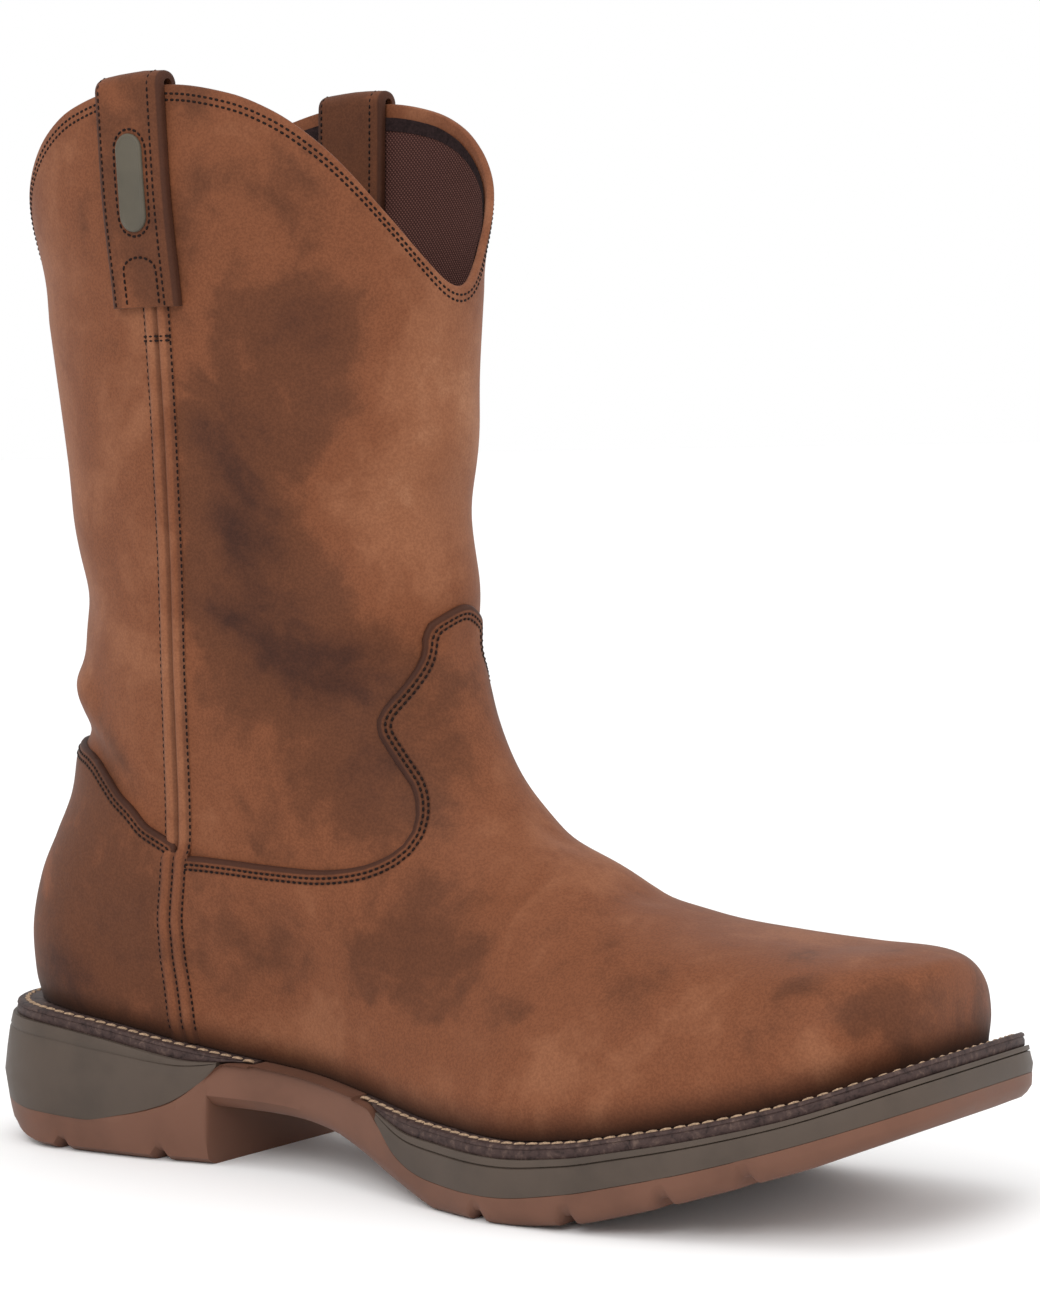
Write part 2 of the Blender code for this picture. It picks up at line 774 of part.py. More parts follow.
def make_insert(name, start, end):
    """An olive midsole insert between the rubber and the welt."""
    xs = stations(start * SOLE_LENGTH, end * SOLE_LENGTH)
    low, high = rubber_top(xs) + GAP, feather(xs) - WELT_THICKNESS - GAP
    levels = wall_levels(xs, low, high, (0.0, 0.33, 0.66, 1.0))
    return finish(make(name, *stack(levels), OLIVE))


def make_welt(name, start, end):
    """A strip of welt around one end of the sole, from its edge to the inside of the upper."""
    xs = stations(start * SOLE_LENGTH, end * SOLE_LENGTH)
    inner = inside_stations(xs, LEATHER)
    verts, faces = [], []
    if start == 0.0:
        order = [(i, -1) for i in range(len(xs) - 1, -1, -1)] + [(i, 1) for i in range(1, len(xs))]
    else:
        order = [(i, -1) for i in range(len(xs))] + [(i, 1) for i in range(len(xs) - 2, -1, -1)]
    for i, side in order:
        outer_y, inner_y = side * sole_outline(xs[i], side, 0.0), side * foot_half(inner[i], side, LEATHER)
        for x, y in ((xs[i], outer_y), (inner[i], inner_y)):
            verts.append((x, y, feather(x) - WELT_THICKNESS))
            verts.append((x, y, feather(x)))
    turn = 1 if start == 0.0 else -1
    for i in range(len(order) - 1):
        a, b = 4 * i, 4 * (i + 1)
        for quad in ((0, 1, 1, 0), (1, 3, 3, 1), (3, 2, 2, 3), (2, 0, 0, 2)):
            corners = (a + quad[0], a + quad[1], b + quad[2], b + quad[3])
            faces.append(corners[::turn])
    last = 4 * (len(order) - 1)
    faces.append((0, 2, 3, 1)[::turn])
    faces.append((last, last + 1, last + 3, last + 2)[::turn])
    return finish(make(name, verts, faces, WELT_LEATHER))


def make_insole():
    xs = stations(0.0, SOLE_LENGTH)
    inset = LEATHER + 3 * GAP
    inner = inside_stations(xs, inset)
    sides = -foot_half(inner, -1, inset), foot_half(inner, 1, inset)
    low = feather(inner) - WELT_THICKNESS + GAP / 2
    levels = [(inner, *sides, low), (inner, *sides, low + INSOLE_THICKNESS)]
    return finish(make("insole", *stack(levels), FOAM))


def overlay(name, outline, rings, thickness, low=-CUTTER_REACH, high=CUTTER_REACH):
    """A panel on the upper: the wall between two offsets of its form, kept inside a side outline."""
    item = make(name, *wall(GAP, GAP + thickness, 0, rings), LEATHER_MATERIAL)
    cut(item, prism(name + "_outline", outline, low, high), "INTERSECT")
    return finish(item)


def strap_low():
    return SHAFT_HEIGHT - STRAP_DROP


def seam_heights():
    return np.linspace(-0.01, strap_low() + 0.01, SEAM_POINTS)


def seam_x(z):
    """The seam's middle at height z, on the straight runs that its neighbours share."""
    heights = seam_heights()
    return float(np.interp(z, heights, through(SEAM, 1, heights / SHAFT_HEIGHT) * SOLE_LENGTH))


def seam_edge(offset):
    """Side outline points along the seam, welt to strap."""
    return [(seam_x(z) + offset, float(z)) for z in seam_heights()]


def vamp_outline():
    edge = [(a * SOLE_LENGTH, r * SHAFT_HEIGHT) for a, r in VAMP_EDGE]
    edge = [tuple(p) for p in curve(edge, 44)]
    beside = SEAM_WIDTH / 2 + GAP
    lower = [p for p in seam_edge(beside) if p[1] < edge[0][1] - 0.004]
    edge[0] = (seam_x(edge[0][1]) + beside, edge[0][1])
    far = 1.2 * SOLE_LENGTH
    return lower + edge + [(far, edge[-1][1]), (far, lower[0][1])]


def counter_outline():
    edge = [(a * SOLE_LENGTH, r * SHAFT_HEIGHT) for a, r in COUNTER_EDGE]
    edge = [tuple(p) for p in curve(edge, 16)]
    beside = -SEAM_WIDTH / 2 - GAP
    edge[0] = (seam_x(edge[0][1]) + beside, edge[0][1])
    lower = [p for p in seam_edge(beside) if p[1] < edge[0][1] - 0.004]
    behind = COUNTER_EDGE[-1][0] * SOLE_LENGTH
    return lower + edge + [(behind, lower[0][1])]


def seam_outline():
    right = [p for p in seam_edge(SEAM_WIDTH / 2) if p[1] < strap_low() - GAP]
    left = [p for p in seam_edge(-SEAM_WIDTH / 2) if p[1] < strap_low() - GAP]
    top = strap_low() - GAP
    middle = seam_x(top)
    return right + [(middle + SEAM_WIDTH / 2, top), (middle - SEAM_WIDTH / 2, top)] + left[::-1]


def make_strap(name, side, centre):
    """A pull strap sewn outside and inside the shaft, looping over the collar."""
    middle = centre * SOLE_LENGTH
    radius = (GAP + LEATHER + STRAP_INNER_GAP) / 2
    turn = np.linspace(0.0, math.pi, 7)
    rows_outer, rows_inner = [], []
    for across in np.linspace(-0.5, 0.5, 5):
        x = middle + across * STRAP_WIDTH
        top = float(collar_height(x)) + STRAP_LOOP
        outside = np.linspace(strap_low(), top, 8)
        inside = np.linspace(top, SHAFT_HEIGHT - STRAP_INNER_DROP, 5)
        for rows, thick in ((rows_outer, STRAP_THICKNESS), (rows_inner, 0.0)):
            line = [(GAP + thick, z) for z in outside[:-1]]
            bend = GAP - radius
            line += [(bend + (radius + thick) * math.cos(a), top + (radius + thick) * math.sin(a)) for a in turn]
            line += [(-LEATHER - STRAP_INNER_GAP - thick, z) for z in inside[1:]]
            points = []
            for out, z in line:
                level = min(z, float(collar_height(x)))
                points.append((x, side * (float(half_width(np.array(x), np.array(level), side)) + out), z))
            rows.append(points)
    count, long = len(rows_outer), len(rows_outer[0])
    verts = [p for row in rows_outer for p in row] + [p for row in rows_inner for p in row]
    shift = count * long
    faces = []
    for i in range(count - 1):
        for j in range(long - 1):
            a, b, c, d = i * long + j, i * long + j + 1, (i + 1) * long + j + 1, (i + 1) * long + j
            faces.append((a, d, c, b))
            faces.append((shift + a, shift + b, shift + c, shift + d))
    for j in range(long - 1):
        faces.append((j, j + 1, shift + j + 1, shift + j))
        a = (count - 1) * long + j
        faces.append((a, shift + a, shift + a + 1, a + 1))
    for i in range(count - 1):
        a, b = i * long, (i + 1) * long
        faces.append((a, shift + a, shift + b, b))
        a, b = a + long - 1, b + long - 1
        faces.append((a, b, shift + b, shift + a))
    if side > 0:
        faces = [f[::-1] for f in faces]
    return finish(make(name, verts, faces, LEATHER_MATERIAL))


def make_badge():
    """A plain rubber plate on the outer strap."""
    middle, height = BADGE_ALONG * SOLE_LENGTH, SHAFT_HEIGHT - BADGE_DROP
    half, straight = BADGE_WIDTH / 2, (BADGE_LENGTH - BADGE_WIDTH) / 2
    outline = []
    for end in (1, -1):
        for a in np.linspace(0.0, math.pi, 8):
            outline.append((middle + end * half * math.cos(a), height + end * (straight + half * math.sin(a))))
    verts = []
    for lift in (0.0, BADGE_THICKNESS):
        for x, z in outline:
            out = float(half_width(np.array(x), np.array(z), -1)) + 2 * GAP + STRAP_THICKNESS + lift
            verts.append((x, -out, z))
    count = len(outline)
    faces = [tuple(range(count - 1, -1, -1)), tuple(range(count, 2 * count))]
    faces += [(i, (i + 1) % count, count + (i + 1) % count, count + i) for i in range(count)]
    return finish(make("strap_badge", verts, faces, BADGE_RUBBER))


LEATHER_MATERIAL = material("oiled brown leather", (0.21, 0.085, 0.036), 0.62)
WELT_LEATHER = material("dark brown welt", (0.045, 0.030, 0.026), 0.60)
RUBBER = material("gum rubber", (0.150, 0.072, 0.043), 0.55)
OLIVE = material("olive rubber", (0.075, 0.064, 0.045), 0.55)
FOAM = material("footbed foam", (0.050, 0.035, 0.030), 0.90)
BADGE_RUBBER = material("plain badge rubber", (0.105, 0.098, 0.078), 0.45)
CUTTER_MATERIAL = material("cutter", (0.5, 0.5, 0.5), 0.5)

finish(make("upper", *wall(-LEATHER, 0.0), LEATHER_MATERIAL))
overlay("vamp", vamp_outline(), VAMP_RINGS, OVERLAY)
overlay("heel_counter", counter_outline(), COUNTER_RINGS, OVERLAY)
overlay("seam_strip_lateral", seam_outline(), None, SEAM_THICKNESS, high=0.0)
overlay("seam_strip_medial", seam_outline(), None, SEAM_THICKNESS, low=0.0)
make_strap("pull_strap_lateral", -1, STRAP_CENTRE_LATERAL)
make_strap("pull_strap_medial", 1, STRAP_CENTRE_MEDIAL)
make_badge()
make_insole()
make_welt("welt_heel", 0.0, ARCH_START)
make_welt("welt_forefoot", ARCH_END, 1.0)
make_insert("midsole_heel", 0.0, HEEL_INSERT_END)
make_insert("midsole_forefoot", FOREFOOT_INSERT_START, 1.0)
make_outsole()
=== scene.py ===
"""The look of a right western boot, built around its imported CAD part.

Metres, +Z up. +X runs to the toe, -Y to the outer side of the foot and +Y to the inner side.
Inside the script, x is measured from the back edge of the sole, and build() moves it to the part's origin.
"""
import math

import bpy
import numpy as np
from mathutils import Matrix, Vector, kdtree


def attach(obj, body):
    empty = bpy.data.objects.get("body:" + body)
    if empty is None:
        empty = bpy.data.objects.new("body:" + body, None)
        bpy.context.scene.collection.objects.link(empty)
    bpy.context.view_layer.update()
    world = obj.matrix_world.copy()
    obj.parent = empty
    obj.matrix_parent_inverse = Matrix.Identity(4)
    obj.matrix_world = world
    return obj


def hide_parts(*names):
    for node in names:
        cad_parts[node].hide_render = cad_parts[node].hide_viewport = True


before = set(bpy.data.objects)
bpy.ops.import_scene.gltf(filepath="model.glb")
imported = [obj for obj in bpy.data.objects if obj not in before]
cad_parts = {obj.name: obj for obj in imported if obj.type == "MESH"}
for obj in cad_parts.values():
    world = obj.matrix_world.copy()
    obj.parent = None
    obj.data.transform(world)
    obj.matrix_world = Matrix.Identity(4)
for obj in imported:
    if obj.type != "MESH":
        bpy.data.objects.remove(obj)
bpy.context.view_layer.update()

# Sizes of the sole
SOLE_LENGTH = 0.314
BALL_WIDTH = 0.110
HEEL_HEIGHT = 0.0405
FOREFOOT_THICKNESS = 0.0210
TOE_SPRING = 0.026
TOE_THINNING = 0.0036
HEEL_SEAT_LENGTH = 0.087
BREAST_HEIGHT = 0.0165
BREAST_SLOPE = 0.0012
HEEL_BEVEL = 0.0050
BEVEL_LENGTH = 0.026
WELT_THICKNESS = 0.0036
WELT_MARGIN = 0.0070
HEEL_BULGE = 0.0030
FOREFOOT_BULGE = 0.0015
TREAD_INSET = 0.0024
TREAD_EDGE = 0.0036
GROOVE_WIDTH = 0.0060
GROOVE_DEPTH = 0.0024
INSOLE_THICKNESS = 0.0080
REST_CENTRE = 0.053

# Sizes of the upper
SHAFT_HEIGHT = 0.298
SHAFT_LENGTH = 0.155
SHAFT_WIDTH = 0.098
INSTEP_RISE = 0.1152
FRONT_DIP = 0.056
BACK_DIP = 0.062
LEATHER = 0.0022
OVERLAY = 0.0015
SEAM_WIDTH = 0.0094
WALL_SWELL = 0.0015
SWELL_HEIGHT = 0.008
LEG_START = 0.060
ANKLE_LOW = 0.100
ANKLE_HIGH = 0.145

# Sizes of the straps and the badge; the places are shares of the sole's length
STRAP_WIDTH = 0.0235
STRAP_THICKNESS = 0.0022
STRAP_DROP = 0.0595
STRAP_LOW = SHAFT_HEIGHT - STRAP_DROP
STRAP_INNER_DROP = 0.045
STRAP_LOOP = 0.0002
STRAP_INNER_GAP = 0.0008
STRAP_CENTRE_LATERAL = 0.273
STRAP_CENTRE_MEDIAL = 0.280
BADGE_WIDTH = 0.0090
BADGE_LENGTH = 0.0265
BADGE_THICKNESS = 0.0009
BADGE_ALONG = 0.273
BADGE_DROP = 0.026

# Room between neighbours that touch
GAP = 0.0003

# How finely the forms are made
FINE = 240
END_REACH = 0.080
SEAM_POINTS = 24
SEAM_CLEARANCE = 0.004

# Where one shape turns into the next: start and length of the change, as shares
TOE_ROUNDING = (0.66, 0.25)
LEG_ENDS = (0.50, 0.22)
COLLAR_ROUNDING = (0.66, 0.20)
THINNING = (0.70, 0.22)
BULGE_CHANGE = (0.20, 0.30)
COLLAR_MARGIN = 0.05
RIDGE_SLOPE = 1.6
TIP_LENGTH = 0.030


def shares(*rows):
    """A table of shares, given in thousandths."""
    return [tuple(value / 1000 for value in row) for row in rows]


# The sole seen from above, as shares of its length and of half the ball's width
PLAN = shares(  # along, lateral, medial
    (0, 600, 600), (110, 615, 615), (200, 600, 600), (280, 545, 545), (360, 525, 500), (460, 660, 580),
    (560, 870, 800), (650, 995, 960), (720, 990, 1005), (800, 925, 975), (880, 840, 900),
    (950, 770, 830), (1000, 730, 790),
)
HEEL_CAP = (0.110, 2.1)
TOE_CAP = (0.100, 3.1)

# How square the upper's sections are: 2 is an ellipse
ROUND_INSTEP = 2.05
ROUND_TOE = 3.10
ROUND_LEG = 2.1
ROUND_COLLAR = 2.6

# The line where the upper meets the welt: heel share of the fall to the forefoot, toe share of the spring
FEATHER = shares(  # along, heel, toe
    (0, 1000, 0), (80, 970, 0), (140, 870, 0), (280, 520, 0), (420, 270, 0), (550, 50, 0), (650, 0, 0),
    (710, 0, 65), (760, 0, 175), (820, 0, 325), (900, 0, 575), (1000, 0, 1000),
)

# The top of the rubber outsole away from the arch, as shares of the height of the sole's wall
RUBBER_TOP = shares(  # along, share
    (0, 360), (80, 275), (140, 265), (185, 345), (232, 485), (275, 720), (310, 960), (350, 1000),
    (455, 1000), (490, 740), (521, 520), (569, 375), (617, 350), (713, 400), (810, 450), (906, 500),
    (1000, 510),
)
HEEL_INSERT_END = 0.288
FOREFOOT_INSERT_START = 0.488
ARCH_START = 0.322
ARCH_END = 0.458

# The underside of the arch between the heel's breast and the ball, as shares of the breast's height
ARCH = shares(  # along, share
    (277, 1000), (340, 970), (420, 830), (500, 360), (565, 0),
)

# Grooves across the tread
GROOVES = [0.112, 0.225, 0.625, 0.715, 0.800, 0.870]

# The front of the upper from the side: toe wall, vamp and throat, as shares of the length and the instep
VAMP = shares(  # along, rise
    (968, 0), (970, 75), (969.5, 150), (966, 192), (952, 217), (870, 300), (800, 362), (730, 430),
    (680, 491), (638, 548), (600, 602), (568, 666), (542, 738), (524, 814), (511, 894), (503, 1000),
)

# The back of the upper below the ankle, as shares of the length and of the height to the throat
COUNTER = shares(  # along, rise
    (27, 0), (21, 100), (18.5, 210), (30, 360), (54, 500), (74, 620), (82, 760), (86, 880),
)

# The shaft from the throat to its top, as shares of its sizes; the centre is a share of the sole's length
SHAFT = shares(  # up, length, width, centre
    (0, 823, 740, 293.5), (150, 820, 750, 293), (350, 845, 800, 288), (600, 884, 890, 285),
    (820, 955, 970, 281.5), (1000, 1000, 1000, 272.3),
)

# The scallop of the collar, as shares of the half length and of the dip
SCALLOP = shares(  # off, drop
    (0, 0), (150, 10), (400, 70), (570, 160), (720, 300), (835, 475), (915, 680), (955, 820),
    (980, 915), (993, 970), (1000, 1000),
)

# Width of the leg below the throat, and the share of each level section that lies behind its widest place
LEG = shares(  # rise, width, back
    (0, 660, 200), (250, 690, 240), (550, 700, 330), (850, 725, 440), (1000, 740, 480),
)

# The side seam's middle, as shares of the height and the length
SEAM = shares(  # up, along
    (0, 243), (200, 240), (310, 262), (400, 265), (540, 268), (800, 281), (1000, 287),
)

# The upper edge of the vamp, from the side seam to the tongue, as shares of the length and the height
VAMP_EDGE = shares(  # along, up
    (277, 293), (320, 290.5), (370, 287), (425, 286), (462, 293), (482, 303), (492, 313), (497, 327),
    (496, 341), (492, 356), (481, 374), (467, 397), (458.5, 418), (460, 425), (476, 453), (484, 476),
    (485, 495), (486.5, 504), (491, 510), (497, 517), (506, 533), (560, 620),
)

# The upper edge of the heel counter, from the side seam to the back
COUNTER_EDGE = shares(  # along, up
    (240, 303), (214, 332), (190, 348), (167, 367), (152, 376), (110, 388), (-50, 393),
)

# The rings from the welt to the collar: where each starts up the back and the front, and what it follows
RINGS = shares(  # back, front, feather, collar
    (0, 0, 1000, 0), (20, 17, 1000, 0), (55, 40, 1000, 0), (95, 64, 1000, 0), (135, 88, 980, 0),
    (170, 125, 950, 0), (205, 180, 900, 0), (240, 245, 820, 0), (275, 310, 700, 0), (310, 370, 550, 0),
    (345, 425, 400, 0), (380, 475, 250, 0), (415, 520, 120, 0), (450, 560, 40, 0), (490, 600, 0, 0),
    (540, 645, 0, 0), (600, 695, 0, 20), (665, 750, 0, 80), (735, 805, 0, 200), (805, 860, 0, 380),
    (870, 910, 0, 600), (930, 955, 0, 800), (1000, 1000, 0, 1000),
)

# How finely the looks are made
ROWS = 168
SIDE_POINTS = 110
SOLE_STATIONS = 150

# Sewing
ROW_INSET = (0.0022, 0.0036)
COLLAR_ROWS = (0.0023, 0.0040)
STITCH_PITCH = 0.00185
STITCH_LENGTH = 0.00145
STITCH_WIDTH = 0.00070
WELT_PITCH = 0.0039
WELT_STITCH = 0.0034
WELT_THREAD = 0.0008
WELT_ROW = 0.0026
WELT_TAPER = 0.026
WELT_TIP = 0.15
SEWN_LIFT = 0.0001

# Levels of the welt's edge, low to high: inset and depth below its top
WELT_PROFILE = [
    (0.0002, WELT_THICKNESS + 0.0001), (0.0, WELT_THICKNESS - 0.0003), (0.0, 0.0020), (0.0003, 0.0012),
    (0.0, 0.0009), (0.0002, 0.0003), (0.0007, 0.0),
]

# The walls of the two inserts, low to high: share of the height and inset, with the groove along the top
INSERT_HEEL = [
    (0.0, 0.0), (0.02, 0.0), (0.30, -0.0004), (0.60, 0.0), (0.82, 0.0), (0.85, 0.0004), (0.88, 0.0),
    (0.99, 0.0), (1.0, 0.0001),
]
INSERT_FOREFOOT = [
    (0.0, 0.0), (0.02, 0.0), (0.30, -0.0003), (0.66, 0.0), (0.76, 0.0), (0.79, 0.0006), (0.82, 0.0),
    (0.98, 0.0), (1.0, 0.0001),
]

# Heights over which the front's place is averaged below the ankle
TOE_AVERAGE = 0.010
AVERAGE_TOP = 0.085
AVERAGE_FADE = 0.020

# The raised edge of a panel: distance from its cut edge and share of its thickness
EDGE_PROFILE = [(0.0, 0.45), (0.0004, 0.88), (0.0010, 1.0)]
LAID = 0.00005

# The badge's face, from its foot over the rim to the middle: inset and share of its thickness
BADGE_RINGS = [
    (0.0, 0.0), (0.0, 0.6), (0.0003, 0.9), (0.0008, 1.0), (0.0010, 0.82), (0.0014, 0.70), (0.0044, 0.70),
]
BADGE_ROW = 0.0013

# The sewing at the strap's lower end, an arch over the strip's tab
TAB_ARCH_DROP = 0.0495
TAB_HALF = 0.0058

# The padded strip over a side seam: its crown, where it steps onto the panels, its tone and the tab's end
STRIP_CROWN = 0.0012
STRIP_STEP = 0.0895
STRIP_LIGHT = 0.35
TAB_DROP = 0.0078

# The collar's cut edge, from the outer face to the inner one: place outward and height
COLLAR_LIP = [
    (0.0, -0.0004), (-0.0003, 0.0), (-LEATHER / 2, 0.0002), (-LEATHER + 0.0003, 0.0), (-LEATHER, -0.0004),
]

# Rows of the form that the binding and the lining cover inside the shaft
BINDING_ROWS = 2
LINING_FROM = 60

# Soft creases in mm: side, depth, radius and the points that each follows; a negative depth is a ridge
CREASES = [  # side, depth, radius, (along the foot, height) ...
    (0, 2.2, 5, [(20, 123), (40, 118), (60, 108), (74, 98)]),
    (0, -2.6, 6, [(18, 135), (34, 133), (52, 126)]),
    (0, 1.2, 8, [(18, 160), (36, 158), (56, 150)]),
    (0, -0.8, 11, [(18, 180), (40, 178), (62, 170)]),
    (0, 1.2, 8.5, [(160, 144), (148, 140), (130, 129), (112, 121)]),
    (0, -1, 10, [(160, 162), (142, 158), (124, 148), (104, 143)]),
    (0, 0.9, 10, [(160, 184), (140, 180), (118, 168), (98, 164)]),
    (0, -0.7, 12, [(158, 204), (136, 198), (112, 190)]),
    (-1, 1, 12, [(150, 232), (128, 220), (104, 216)]),
    (1, 0.8, 14, [(46, 214), (64, 204), (100, 198)]),
    (0, 0.7, 8, [(186, 98), (178, 84), (170, 64)]),
    (0, 0.7, 8, [(214, 80), (208, 69), (200, 52)]),
    (0, -0.5, 8, [(200, 88), (194, 76), (186, 58)]),
    (-1, 1, 11, [(100, 76), (118, 64), (140, 56)]),
    (1, 1.2, 11, [(100, 80), (118, 66), (140, 56)]),
    (0, 0.6, 10, [(262, 62), (258, 54), (250, 44)]),
]

# Patches of the oiled leather: side, place and reach in mm, and tone, from -1 dark plum to 1 light tan
# The light patches on top of the vamp's ridge, 186 and 240 mm along, are painted highlight.
PATCHES = [  # side, along, height, reach along, reach up, tone
    (-1, 34, 250, 24, 50, 0.42), (0, 26, 180, 26, 50, 0.45), (-1, 60, 140, 16, 24, 0.3),
    (-1, 78, 210, 8, 90, 0.3), (0, 154, 205, 12, 60, 0.9), (-1, 112, 262, 16, 14, -0.1),
    (-1, 134, 268, 12, 12, -0.45), (-1, 128, 236, 20, 12, -0.65), (-1, 106, 205, 13, 18, -0.75),
    (-1, 128, 206, 15, 13, -0.6), (0, 148, 124, 18, 24, -0.75), (-1, 134, 182, 18, 12, 0.05),
    (-1, 108, 178, 14, 16, -0.7), (-1, 94, 256, 16, 14, -0.45), (-1, 112, 152, 20, 16, -1),
    (-1, 138, 140, 16, 9, -0.8), (-1, 99, 116, 8, 12, 0.4), (-1, 122, 108, 18, 16, -0.25),
    (-1, 176, 60, 20, 16, -0.2), (1, 120, 240, 22, 18, -0.5), (1, 70, 180, 24, 24, -0.45),
    (1, 110, 150, 24, 18, -0.6), (1, 50, 240, 20, 22, 0.4), (0, 40, 80, 34, 34, -0.3),
    (0, 20, 50, 30, 10, -0.45), (-1, 118, 40, 26, 9, 0.55), (-1, 150, 64, 30, 12, -0.4),
    (0, 186, 96, 24, 14, 0.45), (0, 240, 70, 30, 10, 0.1), (-1, 210, 46, 30, 12, 0.3),
    (-1, 290, 50, 7, 12, 0.75), (-1, 298, 58, 8, 7, -0.65), (1, 200, 48, 34, 14, -0.25),
]

# Camera and its place round the boot
VIEW_TURN = 35.5
VIEW_DISTANCE = 1.110
VIEW_HEIGHT = 0.205
AIM_ALONG_VIEW = 0.143
AIM_HEIGHT = 0.1375
VIEW_ROLL = -1.3
FOCAL_SHARE = 3745 / 1300
LONG_SIDE = 36.0


def smooth(t):
    """0 to 1 with level ends."""
    t = np.clip(t, 0.0, 1.0)
    return t * t * (3.0 - 2.0 * t)


def change(share, where):
    """0 before the place where a shape changes, 1 after it."""
    start, length = where
    return smooth((share - start) / length)


def hermite(t, step, values, slopes, i):
    """The smooth curve from value i to the next one, at share t of the step between them."""
    start = (2 * t**3 - 3 * t**2 + 1) * values[i] + (t**3 - 2 * t**2 + t) * step * slopes[i]
    end = (3 * t**2 - 2 * t**3) * values[i + 1] + (t**3 - t**2) * step * slopes[i + 1]
    return start + end


def through(table, column, at):
    """Reads a column of a table along its first column, on a smooth curve that never overshoots."""
    rows = np.array([[row[0], row[column]] for row in table], dtype=float)
    knots, values = rows[:, 0], rows[:, 1]
    step = np.diff(knots)
    slope = np.diff(values) / step
    tangent = np.zeros(len(values))
    tangent[0], tangent[-1] = slope[0], slope[-1]
    for i in range(1, len(values) - 1):
        if slope[i - 1] * slope[i] > 0.0:
            before, after = 2 * step[i] + step[i - 1], step[i] + 2 * step[i - 1]
            tangent[i] = (before + after) / (before / slope[i - 1] + after / slope[i])
    at = np.asarray(at, dtype=float)
    i = np.clip(np.searchsorted(knots, at, side="right") - 1, 0, len(step) - 1)
    return hermite(np.clip((at - knots[i]) / step[i], 0.0, 1.0), step[i], values, tangent, i)


def run_of(points):
    """How far along a line each of its points is."""
    return np.concatenate([[0.0], np.cumsum(np.linalg.norm(np.diff(points, axis=0), axis=1))])


def read_line(at, reach, points):
    """Points of a line at the given places along it."""
    return np.stack([np.interp(at, reach, column) for column in points.T], axis=1)


def curve(points, count):
    """Evenly spaced points on a smooth curve through the given ones."""
    points = np.asarray(points, dtype=float)
    reach = run_of(points)
    at = np.linspace(0.0, reach[-1], count)
    i = np.clip(np.searchsorted(reach, at, side="right") - 1, 0, len(points) - 2)
    step = (reach[i + 1] - reach[i])[:, None]
    return hermite((at - reach[i])[:, None] / step, step, points, np.gradient(points, reach, axis=0), i)


def end_cap(distance, length, power):
    """1 away from an end, and 0 at it, rounded like a superellipse."""
    short = np.clip(1.0 - distance / length, 0.0, 1.0)
    return (1.0 - short**power) ** (1.0 / power)


def round_ends(x, back, front):
    """1 along the foot, falling to 0 at its round heel and toe."""
    heel = end_cap(x - back, HEEL_CAP[0] * SOLE_LENGTH, HEEL_CAP[1])
    return heel * end_cap(front - x, TOE_CAP[0] * SOLE_LENGTH, TOE_CAP[1])


def feather(x):
    """Height of the welt's top, where the upper stands."""
    share = np.asarray(x) / SOLE_LENGTH
    heel = through(FEATHER, 1, share) * (HEEL_HEIGHT - FOREFOOT_THICKNESS)
    return FOREFOOT_THICKNESS + heel + toe_rise(x)


def plan_half(x, side):
    """Half the sole's width at x without its round ends; side is 1 for the inner side, -1 for the outer."""
    column = 2 if side > 0 else 1
    return through(PLAN, column, np.asarray(x) / SOLE_LENGTH) * BALL_WIDTH / 2


def sole_outline(x, side, grow):
    """Half width of the sole's outline at x, grown outward by grow."""
    return (plan_half(x, side) + grow) * round_ends(x, -grow, SOLE_LENGTH + grow)


def underside(x):
    """Height of the tread's lower face, with the breast, the arch and the toe spring."""
    share = x / SOLE_LENGTH
    bevel = HEEL_BEVEL * (1.0 - smooth(x / BEVEL_LENGTH))
    breast = BREAST_HEIGHT * np.clip((x - HEEL_SEAT_LENGTH) / BREAST_SLOPE, 0.0, 1.0)
    arch = breast * through(ARCH, 1, np.maximum(share, ARCH[0][0]))
    thinning = TOE_THINNING * change(share, THINNING)
    groove = 0.0
    for place in GROOVES:
        off = abs(x - place * SOLE_LENGTH) / (GROOVE_WIDTH / 2)
        groove = groove + GROOVE_DEPTH * np.clip(1.5 * (1.0 - off), 0.0, 1.0)
    return toe_rise(x) + thinning + bevel + arch + groove


def bulge(x, share):
    """How far the sole's wall stands out from its plan at a share of its height."""
    most = FOREFOOT_BULGE + (HEEL_BULGE - FOREFOOT_BULGE) * (1.0 - change(x / SOLE_LENGTH, BULGE_CHANGE))
    return most * np.sin(math.pi * np.clip(share, 0.0, 1.0)) ** 0.8


def toe_rise(x):
    """Height that the toe spring adds under the sole."""
    return TOE_SPRING * through(FEATHER, 2, np.asarray(x) / SOLE_LENGTH)


def welt_depth(x):
    """Thickness of the welt, which thins out towards the arch."""
    ends = np.abs(np.asarray(x)[..., None] - np.array([ARCH_START, ARCH_END]) * SOLE_LENGTH).min(axis=-1)
    return WELT_THICKNESS * (WELT_TIP + (1.0 - WELT_TIP) * smooth(ends / WELT_TAPER))


def rubber_top(x):
    """Height of the outsole's upper face: low under the inserts, and up to the upper along the arch."""
    base = toe_rise(x)
    curved = base + through(RUBBER_TOP, 1, x / SOLE_LENGTH) * (feather(x) - base)
    low = np.minimum(curved, feather(x) - WELT_THICKNESS - GAP) + WELT_THICKNESS - welt_depth(x)
    wrapped = (x > ARCH_START * SOLE_LENGTH + 2 * GAP) & (x < ARCH_END * SOLE_LENGTH - 2 * GAP)
    return np.where(wrapped, feather(x), low)


def foot_line(x):
    """Height of the upper's lower edge."""
    return float(feather(x)) + GAP


THROAT = float(feather(VAMP[-1][0] * SOLE_LENGTH)) + INSTEP_RISE


